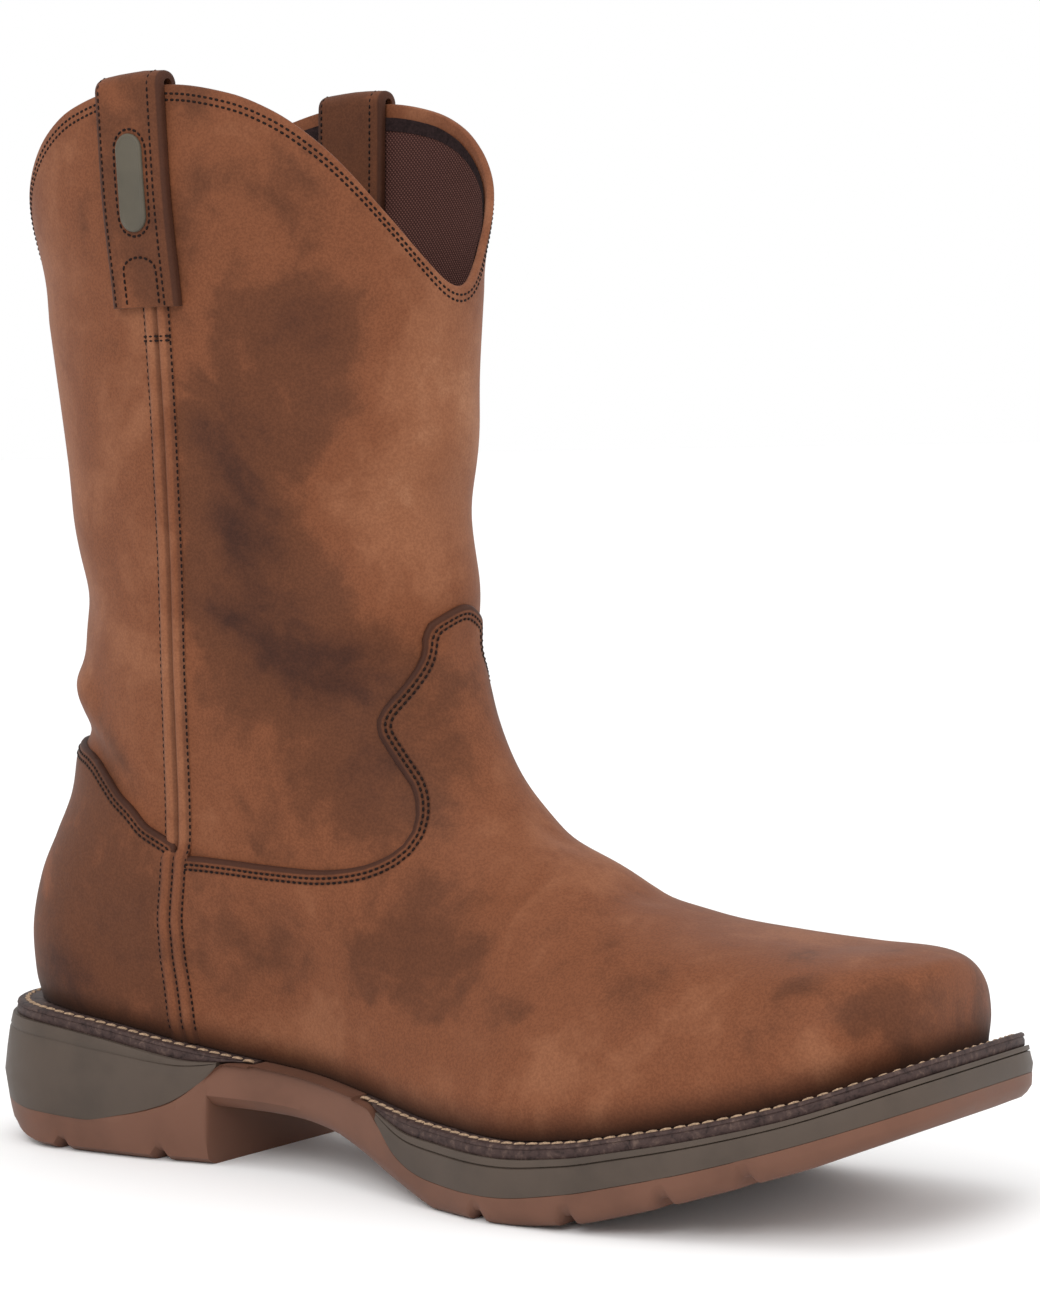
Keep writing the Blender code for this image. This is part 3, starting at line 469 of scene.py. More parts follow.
def front_line():
    """The front of the upper from the side, toe foot to collar."""
    points = [(a * SOLE_LENGTH, foot_line(a * SOLE_LENGTH) + r * INSTEP_RISE) for a, r in VAMP]
    return curve(points + shaft_points(1.0, SHAFT_HEIGHT - FRONT_DIP), FINE)


def back_line():
    """The back of the upper from the side, heel foot to collar."""
    foot = foot_line(COUNTER[0][0] * SOLE_LENGTH)
    points = [(a * SOLE_LENGTH, foot + r * (THROAT - foot)) for a, r in COUNTER]
    return curve(points + shaft_points(-1.0, SHAFT_HEIGHT - BACK_DIP), FINE)


def shaft_points(way, top):
    """Points up the front or the back of the shaft, ending at the collar's height top."""
    heights = [THROAT + row[0] * (SHAFT_HEIGHT - THROAT) for row in SHAFT[1:]]
    heights = [z for z in heights if z < top - COLLAR_MARGIN * SHAFT_HEIGHT] + [top]
    return [(shaft_end(z, way), z) for z in heights]


def shaft_share(z):
    return (z - THROAT) / (SHAFT_HEIGHT - THROAT)


def shaft_end(z, way):
    """Where a level section of the shaft ends, forward for way 1 and back for way -1."""
    up = shaft_share(z)
    centre = through(SHAFT, 3, up) * SOLE_LENGTH
    return float(centre + way * through(SHAFT, 1, up) * SHAFT_LENGTH / 2)


def collar_height(x):
    """Height of the scalloped top edge over x."""
    back, front = shaft_end(SHAFT_HEIGHT - BACK_DIP, -1.0), shaft_end(SHAFT_HEIGHT - FRONT_DIP, 1.0)
    off = (np.asarray(x) - (back + front) / 2) / ((front - back) / 2)
    dip = np.where(off > 0.0, FRONT_DIP, BACK_DIP)
    return SHAFT_HEIGHT - dip * through(SCALLOP, 1, np.minimum(np.abs(off), 1.0))


FRONT = front_line()
BACK = back_line()
WALL_TOP = 0.951 * SOLE_LENGTH


def ridge(x):
    """Height of the vamp's ridge over x, carried on upward behind the throat."""
    widest, throat = int(np.argmax(FRONT[:, 0])), int(np.argmin(FRONT[:, 0]))
    line = FRONT[widest:throat + 1][::-1]
    height = np.interp(x, line[:, 0], line[:, 1])
    return height + RIDGE_SLOPE * np.maximum(line[0, 0] - x, 0.0)


def half_width(x, z, side):
    """Half width of the upper at a place inside its side outline."""
    share = x / SOLE_LENGTH
    above = z - feather(x)
    front, back = np.interp(z, FRONT[:, 1], FRONT[:, 0]), np.interp(z, BACK[:, 1], BACK[:, 0])
    # Over the foot, each upright section is an arch from the welt to the ridge
    round_power = ROUND_INSTEP + (ROUND_TOE - ROUND_INSTEP) * change(share, TOE_ROUNDING)
    up = np.clip(above / np.maximum(ridge(x) - feather(x), 1e-4), 0.0, 1.0)
    arch = (1.0 - up**round_power) ** (1.0 / round_power)
    ends = round_ends(x, back, np.maximum(front, WALL_TOP))
    foot = (plan_half(x, side) - WELT_MARGIN + WALL_SWELL * smooth(above / SWELL_HEIGHT)) * ends * arch
    # In the leg, each level section is an oval
    rise = (z - feather(0.0)) / (THROAT - feather(0.0))
    width = np.where(rise < 1.0, through(LEG, 1, rise), through(SHAFT, 2, shaft_share(z))) * SHAFT_WIDTH
    # The front runs almost level over the toe, so below the ankle its place is averaged over some height
    offsets = np.linspace(-TOE_AVERAGE, TOE_AVERAGE, 9)
    average = np.mean([np.interp(z + off, FRONT[:, 1], FRONT[:, 0]) for off in offsets], axis=0)
    front = average + (front - average) * smooth((z - AVERAGE_TOP) / AVERAGE_FADE)
    behind = through(LEG, 2, rise) * (front - back)
    power = ROUND_LEG + (ROUND_COLLAR - ROUND_LEG) * change(shaft_share(z), COLLAR_ROUNDING)
    oval = end_cap(x - back, behind, power) * end_cap(front - x, front - back - behind, power)
    leg = width / 2 * oval
    blend = smooth(above / LEG_START) * (1.0 - change(share, LEG_ENDS))
    blend = np.maximum(blend, smooth((z - ANKLE_LOW) / (ANKLE_HIGH - ANKLE_LOW)))
    return foot + (leg - foot) * blend


def along_line(line, share):
    at = share * (len(line) - 1)
    i = min(int(at), len(line) - 2)
    return line[i] + (line[i + 1] - line[i]) * (at - i)


def stack(levels):
    """A solid from level outlines, low to high, each (x, outer y, inner y, z) by station along the foot.

    Where both sides meet on the centre line, at the heel's or the toe's end, they share one point.
    """
    verts, index = [], []
    for x, outer, inner, z in levels:
        row = []
        for i in range(len(x)):
            a = len(verts)
            verts.append((x[i], outer[i], z[i]))
            if inner[i] - outer[i] > 1e-6:
                verts.append((x[i], inner[i], z[i]))
            row.append((a, len(verts) - 1))
        index.append(row)
    faces = []

    def face(*corners):
        kept = [c for i, c in enumerate(corners) if c != corners[i - 1]]
        if len(set(kept)) > 2:
            faces.append(tuple(kept))

    last = len(index[0]) - 1
    for i in range(last):
        low, top = index[0], index[-1]
        face(low[i][0], low[i][1], low[i + 1][1], low[i + 1][0])
        face(top[i][0], top[i + 1][0], top[i + 1][1], top[i][1])
    for low, high in zip(index, index[1:]):
        for i in range(last):
            face(low[i][0], low[i + 1][0], high[i + 1][0], high[i][0])
            face(low[i][1], high[i][1], high[i + 1][1], low[i + 1][1])
        if low[0][0] != low[0][1]:
            face(low[0][0], high[0][0], high[0][1], low[0][1])
        if low[last][0] != low[last][1]:
            face(low[last][0], low[last][1], high[last][1], high[last][0])
    return verts, faces


def sole_level(xs, grow, z):
    """One level of a sole piece, its outline grown outward by grow."""
    pull = smooth(1.0 - (SOLE_LENGTH - xs) / TIP_LENGTH) - smooth(1.0 - xs / TIP_LENGTH)
    x = xs + grow * pull
    outer, inner = -sole_outline(x, -1, grow), sole_outline(x, 1, grow)
    return x, outer, inner, z


def wall_level(xs, z, inset=0.0):
    """A level of a sole piece at height z, with the wall's bulge there."""
    base = toe_rise(xs)
    return sole_level(xs, bulge(xs, (z - base) / (feather(xs) - base)) - inset, z)


def foot_half(x, side, inset):
    """Half width inside the upper's foot at the welt, inset from its outer face."""
    back, front = BACK[0, 0] + inset, FRONT[0, 0] - inset
    return (plan_half(x, side) - WELT_MARGIN - inset) * round_ends(x, back, front)


def inside_stations(xs, inset):
    """The same places along the sole, squeezed near its ends to fit between the inside's own."""
    back, front = BACK[0, 0] + inset, FRONT[0, 0] - inset
    heel = back * (1.0 - smooth(xs / END_REACH))
    toe = (SOLE_LENGTH - front) * (1.0 - smooth((SOLE_LENGTH - xs) / END_REACH))
    return xs + heel - toe


SEAM_HEIGHTS = np.linspace(-0.01, STRAP_LOW + 0.01, SEAM_POINTS)


def seam_x(z):
    """The seam's middle at height z, on the straight runs that its neighbours share."""
    return float(np.interp(z, SEAM_HEIGHTS, through(SEAM, 1, SEAM_HEIGHTS / SHAFT_HEIGHT) * SOLE_LENGTH))


def upper_edge(table, count):
    """A panel's upper edge from the side seam on, and the seam's points below it."""
    edge = [tuple(p) for p in curve([(a * SOLE_LENGTH, r * SHAFT_HEIGHT) for a, r in table], count)]
    edge[0] = (seam_x(edge[0][1]), edge[0][1])
    return edge, [(seam_x(z), float(z)) for z in SEAM_HEIGHTS if z < edge[0][1] - SEAM_CLEARANCE]


def vamp_outline():
    edge, lower = upper_edge(VAMP_EDGE, 44)
    far = 1.2 * SOLE_LENGTH
    return lower + edge + [(far, edge[-1][1]), (far, lower[0][1])], edge


def counter_outline():
    edge, lower = upper_edge(COUNTER_EDGE, 16)
    return lower + edge + [(COUNTER_EDGE[-1][0] * SOLE_LENGTH, lower[0][1])], edge


def rows_between(count):
    """The table of rings read at evenly spaced places between its first and last row."""
    table = [(i, *row) for i, row in enumerate(RINGS)]
    at = np.linspace(0.0, len(RINGS) - 1, count)
    return np.stack([through(table, column, at) for column in range(1, 5)], axis=1)


def fine_ring(row):
    """One ring of the upper: the outer side from back to front, then the inner side back again."""
    back_share, front_share, keep_feather, keep_collar = row
    start, end = along_line(BACK, back_share), along_line(FRONT, front_share)
    t = (1.0 - np.cos(np.linspace(0.0, math.pi, 2 * FINE))) / 2
    x = start[0] + (end[0] - start[0]) * t
    z = start[1] + (end[1] - start[1]) * t
    z = z + keep_feather * (feather(x) - feather(start[0]) * (1 - t) - feather(end[0]) * t)
    collar_ends = collar_height(start[0]) * (1 - t) + collar_height(end[0]) * t
    z = z + keep_collar * (collar_height(x) - collar_ends)
    sides = []
    for side in (-1, 1):
        y = half_width(x, z, side)
        y[0] = y[-1] = 0.0
        points = np.stack([x, side * y, z], axis=1)
        reach = run_of(points)
        sides.append(read_line(np.linspace(0.0, reach[-1], SIDE_POINTS + 1), reach, points))
    return np.vstack([sides[0], sides[1][-2:0:-1]])


def side_points(points, side):
    """Points on the upper's surface at places (x, z) of one side."""
    points = np.asarray(points, dtype=float)
    x, z = points[:, 0], points[:, 1]
    return np.stack([x, side * half_width(x, z, side), z], axis=1)


def densify(points, gap):
    """More points along a line, about gap apart."""
    out = [points[:1]]
    for a, b in zip(points, points[1:]):
        count = max(1, int(math.ceil(np.linalg.norm(b - a) / gap)))
        out.append(a + (b - a) * (np.arange(1, count + 1) / count)[:, None])
    return np.vstack(out)


def crease_lines():
    """Each crease as depth, radius, the points that it follows and how strong it is at each."""
    lines = []
    for side, depth, radius, places in CREASES:
        for way in ((-1, 1) if side == 0 else (side,)):
            line = densify(side_points(densify(np.array(places) / 1000, 0.002), way), 0.002)
            t = np.linspace(0.0, 1.0, len(line))
            open_start = 1.0 if side == 0 else smooth(t / 0.3)
            lines.append((depth / 1000, radius / 1000, line, open_start * smooth((1.0 - t) / 0.45)))
    return lines


def crease_depth(points):
    """How far the creases move the leather outward at some points."""
    shape = points.shape[:-1]
    flat = points.reshape(-1, 3)
    moved = np.zeros(len(flat))
    for depth, radius, line, strength in CREASE_LINES:
        low, high = line.min(0) - 3 * radius, line.max(0) + 3 * radius
        near = np.flatnonzero(((flat > low) & (flat < high)).all(1))
        if len(near):
            gap = ((flat[near, None, :] - line[None]) ** 2).sum(2)
            pick = gap.argmin(1)
            moved[near] -= depth * strength[pick] * np.exp(-gap[np.arange(len(near)), pick] / radius**2)
    collar = collar_height(flat[:, 0]) - flat[:, 2]
    moved *= smooth(collar / 0.03) * smooth((flat[:, 2] - feather(flat[:, 0])) / 0.012)
    return moved.reshape(shape)


def lean(points, closed):
    """Outward normals of a grid of points; its columns run round the boot if closed."""
    if closed:
        across = np.roll(points, -1, axis=1) - np.roll(points, 1, axis=1)
    else:
        across = np.gradient(points, axis=1)
    normal = np.cross(np.gradient(points, axis=0), across)
    length = np.linalg.norm(normal, axis=2, keepdims=True)
    return normal / np.maximum(length, 1e-12)


def outward(points, normal):
    """The normals, turned so that they leave the boot's middle."""
    middle = points.mean(axis=1, keepdims=True)
    return normal if ((points - middle) * normal).sum() > 0 else -normal


def tone_at(points):
    """The patches' tone at some points."""
    tone = np.zeros(points.shape[:-1])
    x, y, z = points[..., 0] * 1000, points[..., 1] * 1000, points[..., 2] * 1000
    for side, along, height, reach, rise, strength in PATCHES:
        off = ((x - along) / reach) ** 2 + ((z - height) / rise) ** 2
        mask = 1.0 if side == 0 else smooth(0.5 + side * y / 16)
        tone = tone + strength * mask * np.exp(-off * 0.8)
    return np.clip(tone, -1.0, 1.0)


def linked(item):
    bpy.context.scene.collection.objects.link(item)
    return item


def height_over_welt(verts):
    """How high some points are over the welt, in mm."""
    return (verts[:, 2] - feather(verts[:, 0])) * 1000


def build(name, verts, faces, material, smooth_angle=50.0, **attributes):
    """A mesh piece from points in the script's own x, with float attributes for its material."""
    mesh = bpy.data.meshes.new(name)
    points = np.asarray(verts, dtype=float) - np.array([REST_CENTRE, 0.0, 0.0])
    mesh.from_pydata(points.tolist(), [], [tuple(int(i) for i in f) for f in faces])
    mesh.materials.append(material)
    for key, values in attributes.items():
        layer = mesh.attributes.new(key, "FLOAT", "POINT")
        layer.data.foreach_set("value", np.asarray(values, dtype=np.float32).ravel())
    mesh.validate()
    mesh.update()
    mesh.shade_smooth()
    mesh.set_sharp_from_angle(angle=math.radians(smooth_angle))
    item = linked(bpy.data.objects.new(name, mesh))
    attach(item, "root")
    return item


def grid_faces(rows, columns, closed=False, flip=False, start=0):
    """Quads of a grid of points stored row by row."""
    faces = []
    for r in range(rows - 1):
        for c in range(columns if closed else columns - 1):
            d = (c + 1) % columns
            a = start + r * columns
            quad = (a + c, a + d, a + columns + d, a + columns + c)
            faces.append(quad[::-1] if flip else quad)
    return faces


# Cutting the form along lines of equal distance

def crossed(tris, off):
    """Which triangles have a change of sign, and their corners in order with the changing edges between."""
    over = off[tris] > 0
    crossing = over.any(axis=1) & ~over.all(axis=1)
    loops = []
    for tri in tris[crossing]:
        loop = []
        for a, b in zip(tri, (tri[1], tri[2], tri[0])):
            loop.append(a)
            if (off[a] > 0) != (off[b] > 0):
                loop.append((min(a, b), max(a, b)))
        loops.append(loop)
    return crossing, loops


def cut_point(data, off, edge):
    a, b = edge
    share = off[a] / (off[a] - off[b])
    return data[a] * (1 - share) + data[b] * share


def split(data, tris, value, level):
    """Cuts triangles where a value per point crosses a level; data and value gain the new points."""
    off = value - level
    crossing, loops = crossed(tris, off)
    cuts, made = {}, []
    for loop in loops:
        first, second = [i for i, corner in enumerate(loop) if isinstance(corner, tuple)]
        for i in (first, second):
            loop[i] = cuts.setdefault(loop[i], len(data) + len(cuts))
        for part in (loop[first:second + 1], loop[second:] + loop[:first + 1]):
            made += [(part[0], part[k], part[k + 1]) for k in range(1, len(part) - 1)]
    if not made:
        return data, tris, value
    data = np.vstack([data, [cut_point(data, off, edge) for edge in cuts]])
    return data, np.vstack([tris[~crossing], made]), np.concatenate([value, np.full(len(cuts), level)])


def level_lines(data, tris, value, level):
    """Lines on the triangles where a value per point equals a level."""
    off = value - level
    links = {}
    for loop in crossed(tris, off)[1]:
        first, second = [corner for corner in loop if isinstance(corner, tuple)]
        links.setdefault(first, []).append(second)
        links.setdefault(second, []).append(first)
    lines = []
    while links:
        at = next((edge for edge in links if len(links[edge]) == 1), next(iter(links)))
        line = []
        while at is not None:
            line.append(cut_point(data, off, at))
            at = next((edge for edge in links.pop(at) if edge in links), None)
        if len(line) > 3:
            lines.append(np.array(line))
    return lines


def outline_distance(points, outline):
    """Signed distance of (x, z) places to a closed side outline, positive inside."""
    a = np.asarray(outline, dtype=float)
    b = np.roll(a, -1, axis=0)
    best = np.full(len(points), 1e9)
    inside = np.zeros(len(points), dtype=bool)
    for p, q in zip(a, b):
        leg = q - p
        t = np.clip(((points - p) @ leg) / max(leg @ leg, 1e-18), 0.0, 1.0)
        best = np.minimum(best, np.linalg.norm(points - p - t[:, None] * leg, axis=1))
        straddles = (p[1] > points[:, 1]) != (q[1] > points[:, 1])
        with np.errstate(divide="ignore", invalid="ignore"):
            cross = p[0] + (points[:, 1] - p[1]) * leg[0] / leg[1]
        inside ^= straddles & (points[:, 0] < cross)
    return np.where(inside, best, -best)


def edge_distance(outline, shown):
    """Distances of the form's points to an outline's line on the form, and to the part of it that shows."""
    flat = outline_distance(FORM[:, [0, 2]], outline)
    edge = np.vstack([densify(line[:, :3], 0.0003) for line in level_lines(FORM, FORM_TRIS, flat, 0.0)])
    shown = densify(np.array(shown), 0.0005)
    gap = np.array([np.linalg.norm(shown - point[[0, 2]], axis=1).min() for point in edge])
    found = []
    for points in (edge, edge[gap < 0.0015]):
        tree = kdtree.KDTree(len(points))
        for i, point in enumerate(points):
            tree.insert(point, i)
        tree.balance()
        nearest = [tree.find(point)[2] for point in FORM[:, :3]]
        found.append(np.copysign(nearest, flat))
    return found


def panel(name, outline, shown, thickness, material):
    """A leather panel laid on the form inside a side outline, with a rounded raised edge."""
    distance, visible = edge_distance(outline, shown)
    data, tris, value = FORM, FORM_TRIS, distance
    tris = tris[(value[tris] > -0.012).any(axis=1)]
    data = np.column_stack([data, visible])
    for level, _ in EDGE_PROFILE:
        data, tris, value = split(data, tris, value, level)
    tris = tris[value[tris].mean(axis=1) > 0]
    used, tris = np.unique(tris, return_inverse=True)
    tris = tris.reshape(-1, 3)
    data, value = data[used], value[used]
    share = np.interp(value, *np.array(EDGE_PROFILE).T)
    normal = data[:, 3:6] / np.linalg.norm(data[:, 3:6], axis=1, keepdims=True)
    top = data[:, :3] + normal * (LAID + thickness * share)[:, None]
    foot = data[:, :3] + normal * LAID
    edges = {}
    for a, b, c in tris:
        for u, v in ((a, b), (b, c), (c, a)):
            edges[(u, v)] = edges.get((u, v), 0) + 1
    rim = [(u, v) for u, v in edges if (v, u) not in edges]
    low = sorted({i for pair in rim for i in pair})
    under = {above: len(top) + i for i, above in enumerate(low)}
    faces = [tuple(t) for t in tris] + [(v, u, under[u], under[v]) for u, v in rim]
    verts = np.vstack([top, foot[low]])
    edge = np.abs(np.concatenate([data[:, 6], data[low, 6]])) * 1000
    item = build(name, verts, faces, material, tone=tone_at(verts), edge=edge, rise=height_over_welt(verts))
    rows = []
    for inset in ROW_INSET:
        for line in level_lines(np.column_stack([FORM, distance]), FORM_TRIS, visible, inset):
            above = line[:, 6] > 0.8 * inset
            lifted = line[:, :3] + line[:, 3:6] * (LAID + thickness)
            if above.all():
                rows.append((lifted, line[:, 3:6]))
            else:
                runs = np.split(np.arange(len(line)), np.flatnonzero(np.diff(above.astype(int))) + 1)
                rows += [(lifted[run], line[run, 3:6]) for run in runs if above[run[0]]]
    return item, rows


# Sewing

def resample(line, pitch):
    """Middles and directions of the stitches along a line, with the line's place at each."""
    points, normals = line
    if len(points) < 4:
        return None
    soft = points.copy()
    for _ in range(3):
        soft[1:-1] = (soft[:-2] + 2 * soft[1:-1] + soft[2:]) / 4
    reach = run_of(soft)
    count = int(reach[-1] / pitch)
    if count < 2:
        return None
    at = (np.arange(count) + 0.5) * reach[-1] / count
    along = read_line(at + 1e-4, reach, soft) - read_line(at - 1e-4, reach, soft)
    along /= np.linalg.norm(along, axis=1, keepdims=True)
    return read_line(at, reach, soft), along, read_line(at, reach, normals)


# A stitch: place along it, its girth and its lift, as shares of length, width and width
STITCH_SHAPE = [
    (-0.50, 0.30, -0.55), (-0.36, 0.85, -0.12), (0.0, 1.0, 0.02), (0.36, 0.85, -0.12), (0.50, 0.30, -0.55),
]
STITCH_SIDES = 5


def sew(lines, pitch, length, width, turn=0.0, spread=0.0):
    """Points and faces of the stitches along some lines; turn slants each one."""
    place, girth, lift = (np.array(STITCH_SHAPE).T * [[length], [width / 2], [width]])[:, :, None]
    around = (np.linspace(0.0, 2 * math.pi, STITCH_SIDES, endpoint=False) + 0.3)[:, None]
    verts, faces = [], []
    for line in lines:
        found = resample(line, pitch)
        if found is None:
            continue
        middle, along, up = found
        side = np.cross(up, along)
        side /= np.linalg.norm(side, axis=1, keepdims=True)
        up = np.cross(along, side)[:, None]
        slanted = (along * math.cos(turn) + side * math.sin(turn))[:, None]
        beside = (side * math.cos(turn) - along * math.sin(turn))[:, None]
        spine = (middle + side * spread)[:, None] + slanted * place + up * lift
        ring = beside * np.cos(around) + up * np.sin(around)
        verts.append((spine[:, :, None] + ring[:, None] * girth[:, None]).reshape(-1, 3))
    verts = np.vstack(verts)
    each = len(STITCH_SHAPE) * STITCH_SIDES
    for start in range(0, len(verts), each):
        faces += grid_faces(len(STITCH_SHAPE), STITCH_SIDES, True, False, start)
        faces.append(tuple(range(start + STITCH_SIDES - 1, start - 1, -1)))
        faces.append(tuple(range(start + each - STITCH_SIDES, start + each)))
    return verts, faces


# Bands that lie on one side of the shaft

def band_rows(xs, zs, side):
    """Points and outward normals of a grid on the side of the form; xs has a row for each height."""
    x, z = np.asarray(xs, dtype=float), np.asarray(zs, dtype=float)
    points = np.stack([x, side * half_width(x, z, side), z], axis=-1)
    normal = lean(points, False)
    normal = np.where((normal[..., 1:2] * side) > 0, normal, -normal)
    return points + normal * crease_depth(points)[..., None], normal


def band(name, xs, zs, side, heights, edges, material):
    """A strip with a height profile across it; its first and last columns go down to the form."""
    points, normal = band_rows(xs, zs, side)
    top = points + normal * (LAID + np.asarray(heights))[..., None]
    rows, columns = top.shape[:2]
    verts = top.reshape(-1, 3)
    faces = grid_faces(rows, columns, False, side > 0)
    edge = np.broadcast_to(edges, (rows, columns)).ravel()
    tone = tone_at(verts) + STRIP_LIGHT * smooth((verts[:, 2] - STRIP_STEP) / 0.003)
    return build(name, verts, faces, material, tone=tone, edge=edge * 1000, rise=height_over_welt(verts))


def seam_strip(name, side, material):
    """The strip over a side seam, folded along its middle, with its sewing."""
    zs = np.linspace(float(feather(0.075)) + GAP, STRAP_LOW + 0.004, 170)
    half = SEAM_WIDTH / 2
    across = np.array([-half, -half, -half + 0.0004, -half + 0.001, -0.003, -0.0014, -0.0005, 0.0,
                       0.0005, 0.0014, 0.003, half - 0.001, half - 0.0004, half, half])
    middle = np.array([seam_x(z) for z in zs])
    xs = middle[:, None] + across[None]
    pillow = np.array([0, 0.06, 0.26, 0.60, 1, 0.95, 0.50, 0.02, 0.50, 0.95, 1, 0.60, 0.26, 0.06, 0])
    over_panels = smooth((STRIP_STEP - zs) / 0.0024)
    crown = STRIP_CROWN * (1.0 - 0.45 * over_panels)
    heights = pillow[None] * crown[:, None] + (OVERLAY * over_panels)[:, None] * (pillow > 0)
    edges = np.minimum(half - np.abs(across), np.abs(across) + 0.0004)
    item = band(name, xs, np.broadcast_to(zs[:, None], xs.shape), side, heights, edges, material)
    rows = []
    for off in (-half + 0.0004, 0.0, half - 0.0004):
        places = np.stack([middle + off - 0.0002, middle + off, middle + off + 0.0002], axis=1)
        points, normal = band_rows(places, np.broadcast_to(zs[:, None], places.shape), side)
        lift = LAID + OVERLAY * over_panels + 0.2 * crown
        keep = (zs > zs[2]) & ((zs < STRIP_STEP) | (off != 0.0))
        rows.append(((points[:, 1] + normal[:, 1] * lift[:, None])[keep], normal[:, 1][keep]))
    foot = STRAP_LOW - TAB_DROP
    for z in (foot, foot - 0.0012):
        places = seam_x(z) + np.linspace(-half, half, 14)
        both = np.stack([np.full(14, z - 0.0002), np.full(14, z), np.full(14, z + 0.0002)], axis=0)
        points, normal = band_rows(np.tile(places, (3, 1)), both, side)
        rows.append((points[1] + normal[1] * STRIP_CROWN * 0.9, normal[1]))
    return item, rows


def strap_line(x, side, thick):
    """The run of a pull strap up the outside, over the collar and down the inside, at one x."""
    radius = (GAP + LEATHER + STRAP_INNER_GAP) / 2
    top = float(collar_height(x)) + STRAP_LOOP
    outside = np.linspace(STRAP_LOW, top, 46)
    inside = np.linspace(top, SHAFT_HEIGHT - STRAP_INNER_DROP, 26)
    turn = np.linspace(0.0, math.pi, 15)
    bend = GAP - radius
    line = [(GAP + thick, z) for z in outside[:-1]]
    line += [(bend + (radius + thick) * math.cos(a), top + (radius + thick) * math.sin(a)) for a in turn]
    line += [(-LEATHER - STRAP_INNER_GAP - thick, z) for z in inside[1:]]
    out, z = np.array(line).T
    level = np.minimum(z, float(collar_height(x)))
    half = half_width(np.full(len(z), x), level, side)
    return np.stack([np.full(len(z), x), side * (half + out), z], axis=1)


def strap(name, side, centre, material):
    """A folded pull strap: a band with soft cut edges and rows of sewing along them."""
    middle = centre * SOLE_LENGTH
    places = np.array([-0.5, -0.5, -0.485, -0.455, -0.36, -0.18, 0.0, 0.18, 0.36, 0.455, 0.485, 0.5, 0.5])
    thick = STRAP_THICKNESS * np.array([0.0, 0.6, 0.9, 1, 1, 1, 1, 1, 1, 1, 0.9, 0.6, 0.0])
    outer = np.array([strap_line(middle + s * STRAP_WIDTH, side, t) for s, t in zip(places, thick)])
    verts = outer.reshape(-1, 3)
    faces = grid_faces(*outer.shape[:2], False, side < 0)
    inner = np.array([strap_line(middle + s * STRAP_WIDTH, side, 0.0) for s in places[1:-1]])
    start = len(verts)
    verts = np.vstack([verts, inner.reshape(-1, 3)])
    faces += grid_faces(*inner.shape[:2], False, side > 0, start)
    columns = outer.shape[1]
    for end in (0, columns - 1):
        for i in range(len(places) - 3):
            a, b = (i + 1) * columns + end, (i + 2) * columns + end
            c, d = start + i * columns + end, start + (i + 1) * columns + end
            quad = (a, b, d, c)
            faces.append(quad if (end == 0) == (side > 0) else quad[::-1])
    edge = np.full(len(verts), 4.0)
    edge[:start] = np.repeat((0.5 - np.abs(places)) * STRAP_WIDTH * 1000, columns)
    item = build(name, verts, faces, material, tone=tone_at(verts) * 0.4 - 0.25, edge=edge,
                 rise=np.full(len(verts), 100.0))
    rows = []
    for share in (-0.5 + 0.0016 / STRAP_WIDTH, 0.5 - 0.0042 / STRAP_WIDTH):
        line = strap_line(middle + share * STRAP_WIDTH, side, STRAP_THICKNESS)
        beside = strap_line(middle + share * STRAP_WIDTH + 0.0005, side, STRAP_THICKNESS)
        normal = np.cross(np.gradient(line, axis=0), beside - line)
        normal /= np.linalg.norm(normal, axis=1, keepdims=True)
        normal = normal if normal[0, 1] * side > 0 else -normal
        rows.append((line, normal))
    return item, rows


def stadium(middle, height, half, straight, count=18):
    """A stadium's points, upright, with its middle at (x, z)."""
    points = []
    for end in (1, -1):
        for a in np.linspace(0.0, math.pi, count):
            points.append((middle + end * half * math.cos(a), height + end * (straight + half * math.sin(a))))
    return np.array(points)


def strap_face(places, lift):
    """Points on the outer strap's face at (x, z) places, lifted off it."""
    x, z = places[:, 0], places[:, 1]
    out = half_width(x, z, -1) + GAP + STRAP_THICKNESS + lift
    return np.stack([x, -out, z], axis=1)


def badge(material):
    """The plain rubber badge with a rounded rim, and the line of sewing round it."""
    middle, height = BADGE_ALONG * SOLE_LENGTH, SHAFT_HEIGHT - BADGE_DROP
    half, straight = BADGE_WIDTH / 2, (BADGE_LENGTH - BADGE_WIDTH) / 2
    verts = [strap_face(stadium(middle, height, half - inset, straight), BADGE_THICKNESS * lift)
             for inset, lift in BADGE_RINGS]
    count = len(verts[0])
    faces = grid_faces(len(verts), count, True, False)
    faces.append(tuple(range((len(verts) - 1) * count, len(verts) * count)))
    item = build("badge_plate", np.vstack(verts), faces, material)
    ring_line = stadium(middle, height, half + BADGE_ROW, straight)
    ring_line = np.vstack([ring_line, ring_line[:1]])
    sewn = strap_face(ring_line, SEWN_LIFT)
    low, arch = STRAP_LOW + 0.0006, SHAFT_HEIGHT - TAB_ARCH_DROP
    tab = [(middle - TAB_HALF, low)]
    for a in np.linspace(0.0, math.pi, 14):
        tab.append((middle - TAB_HALF * math.cos(a), arch + 0.6 * TAB_HALF * math.sin(a)))
    tab.append((middle + TAB_HALF, low))
    lines = (sewn, densify(strap_face(np.array(tab), SEWN_LIFT), 0.0008))
    return item, [(line, np.tile([0.0, -1.0, 0.0], (len(line), 1))) for line in lines]


# Sole

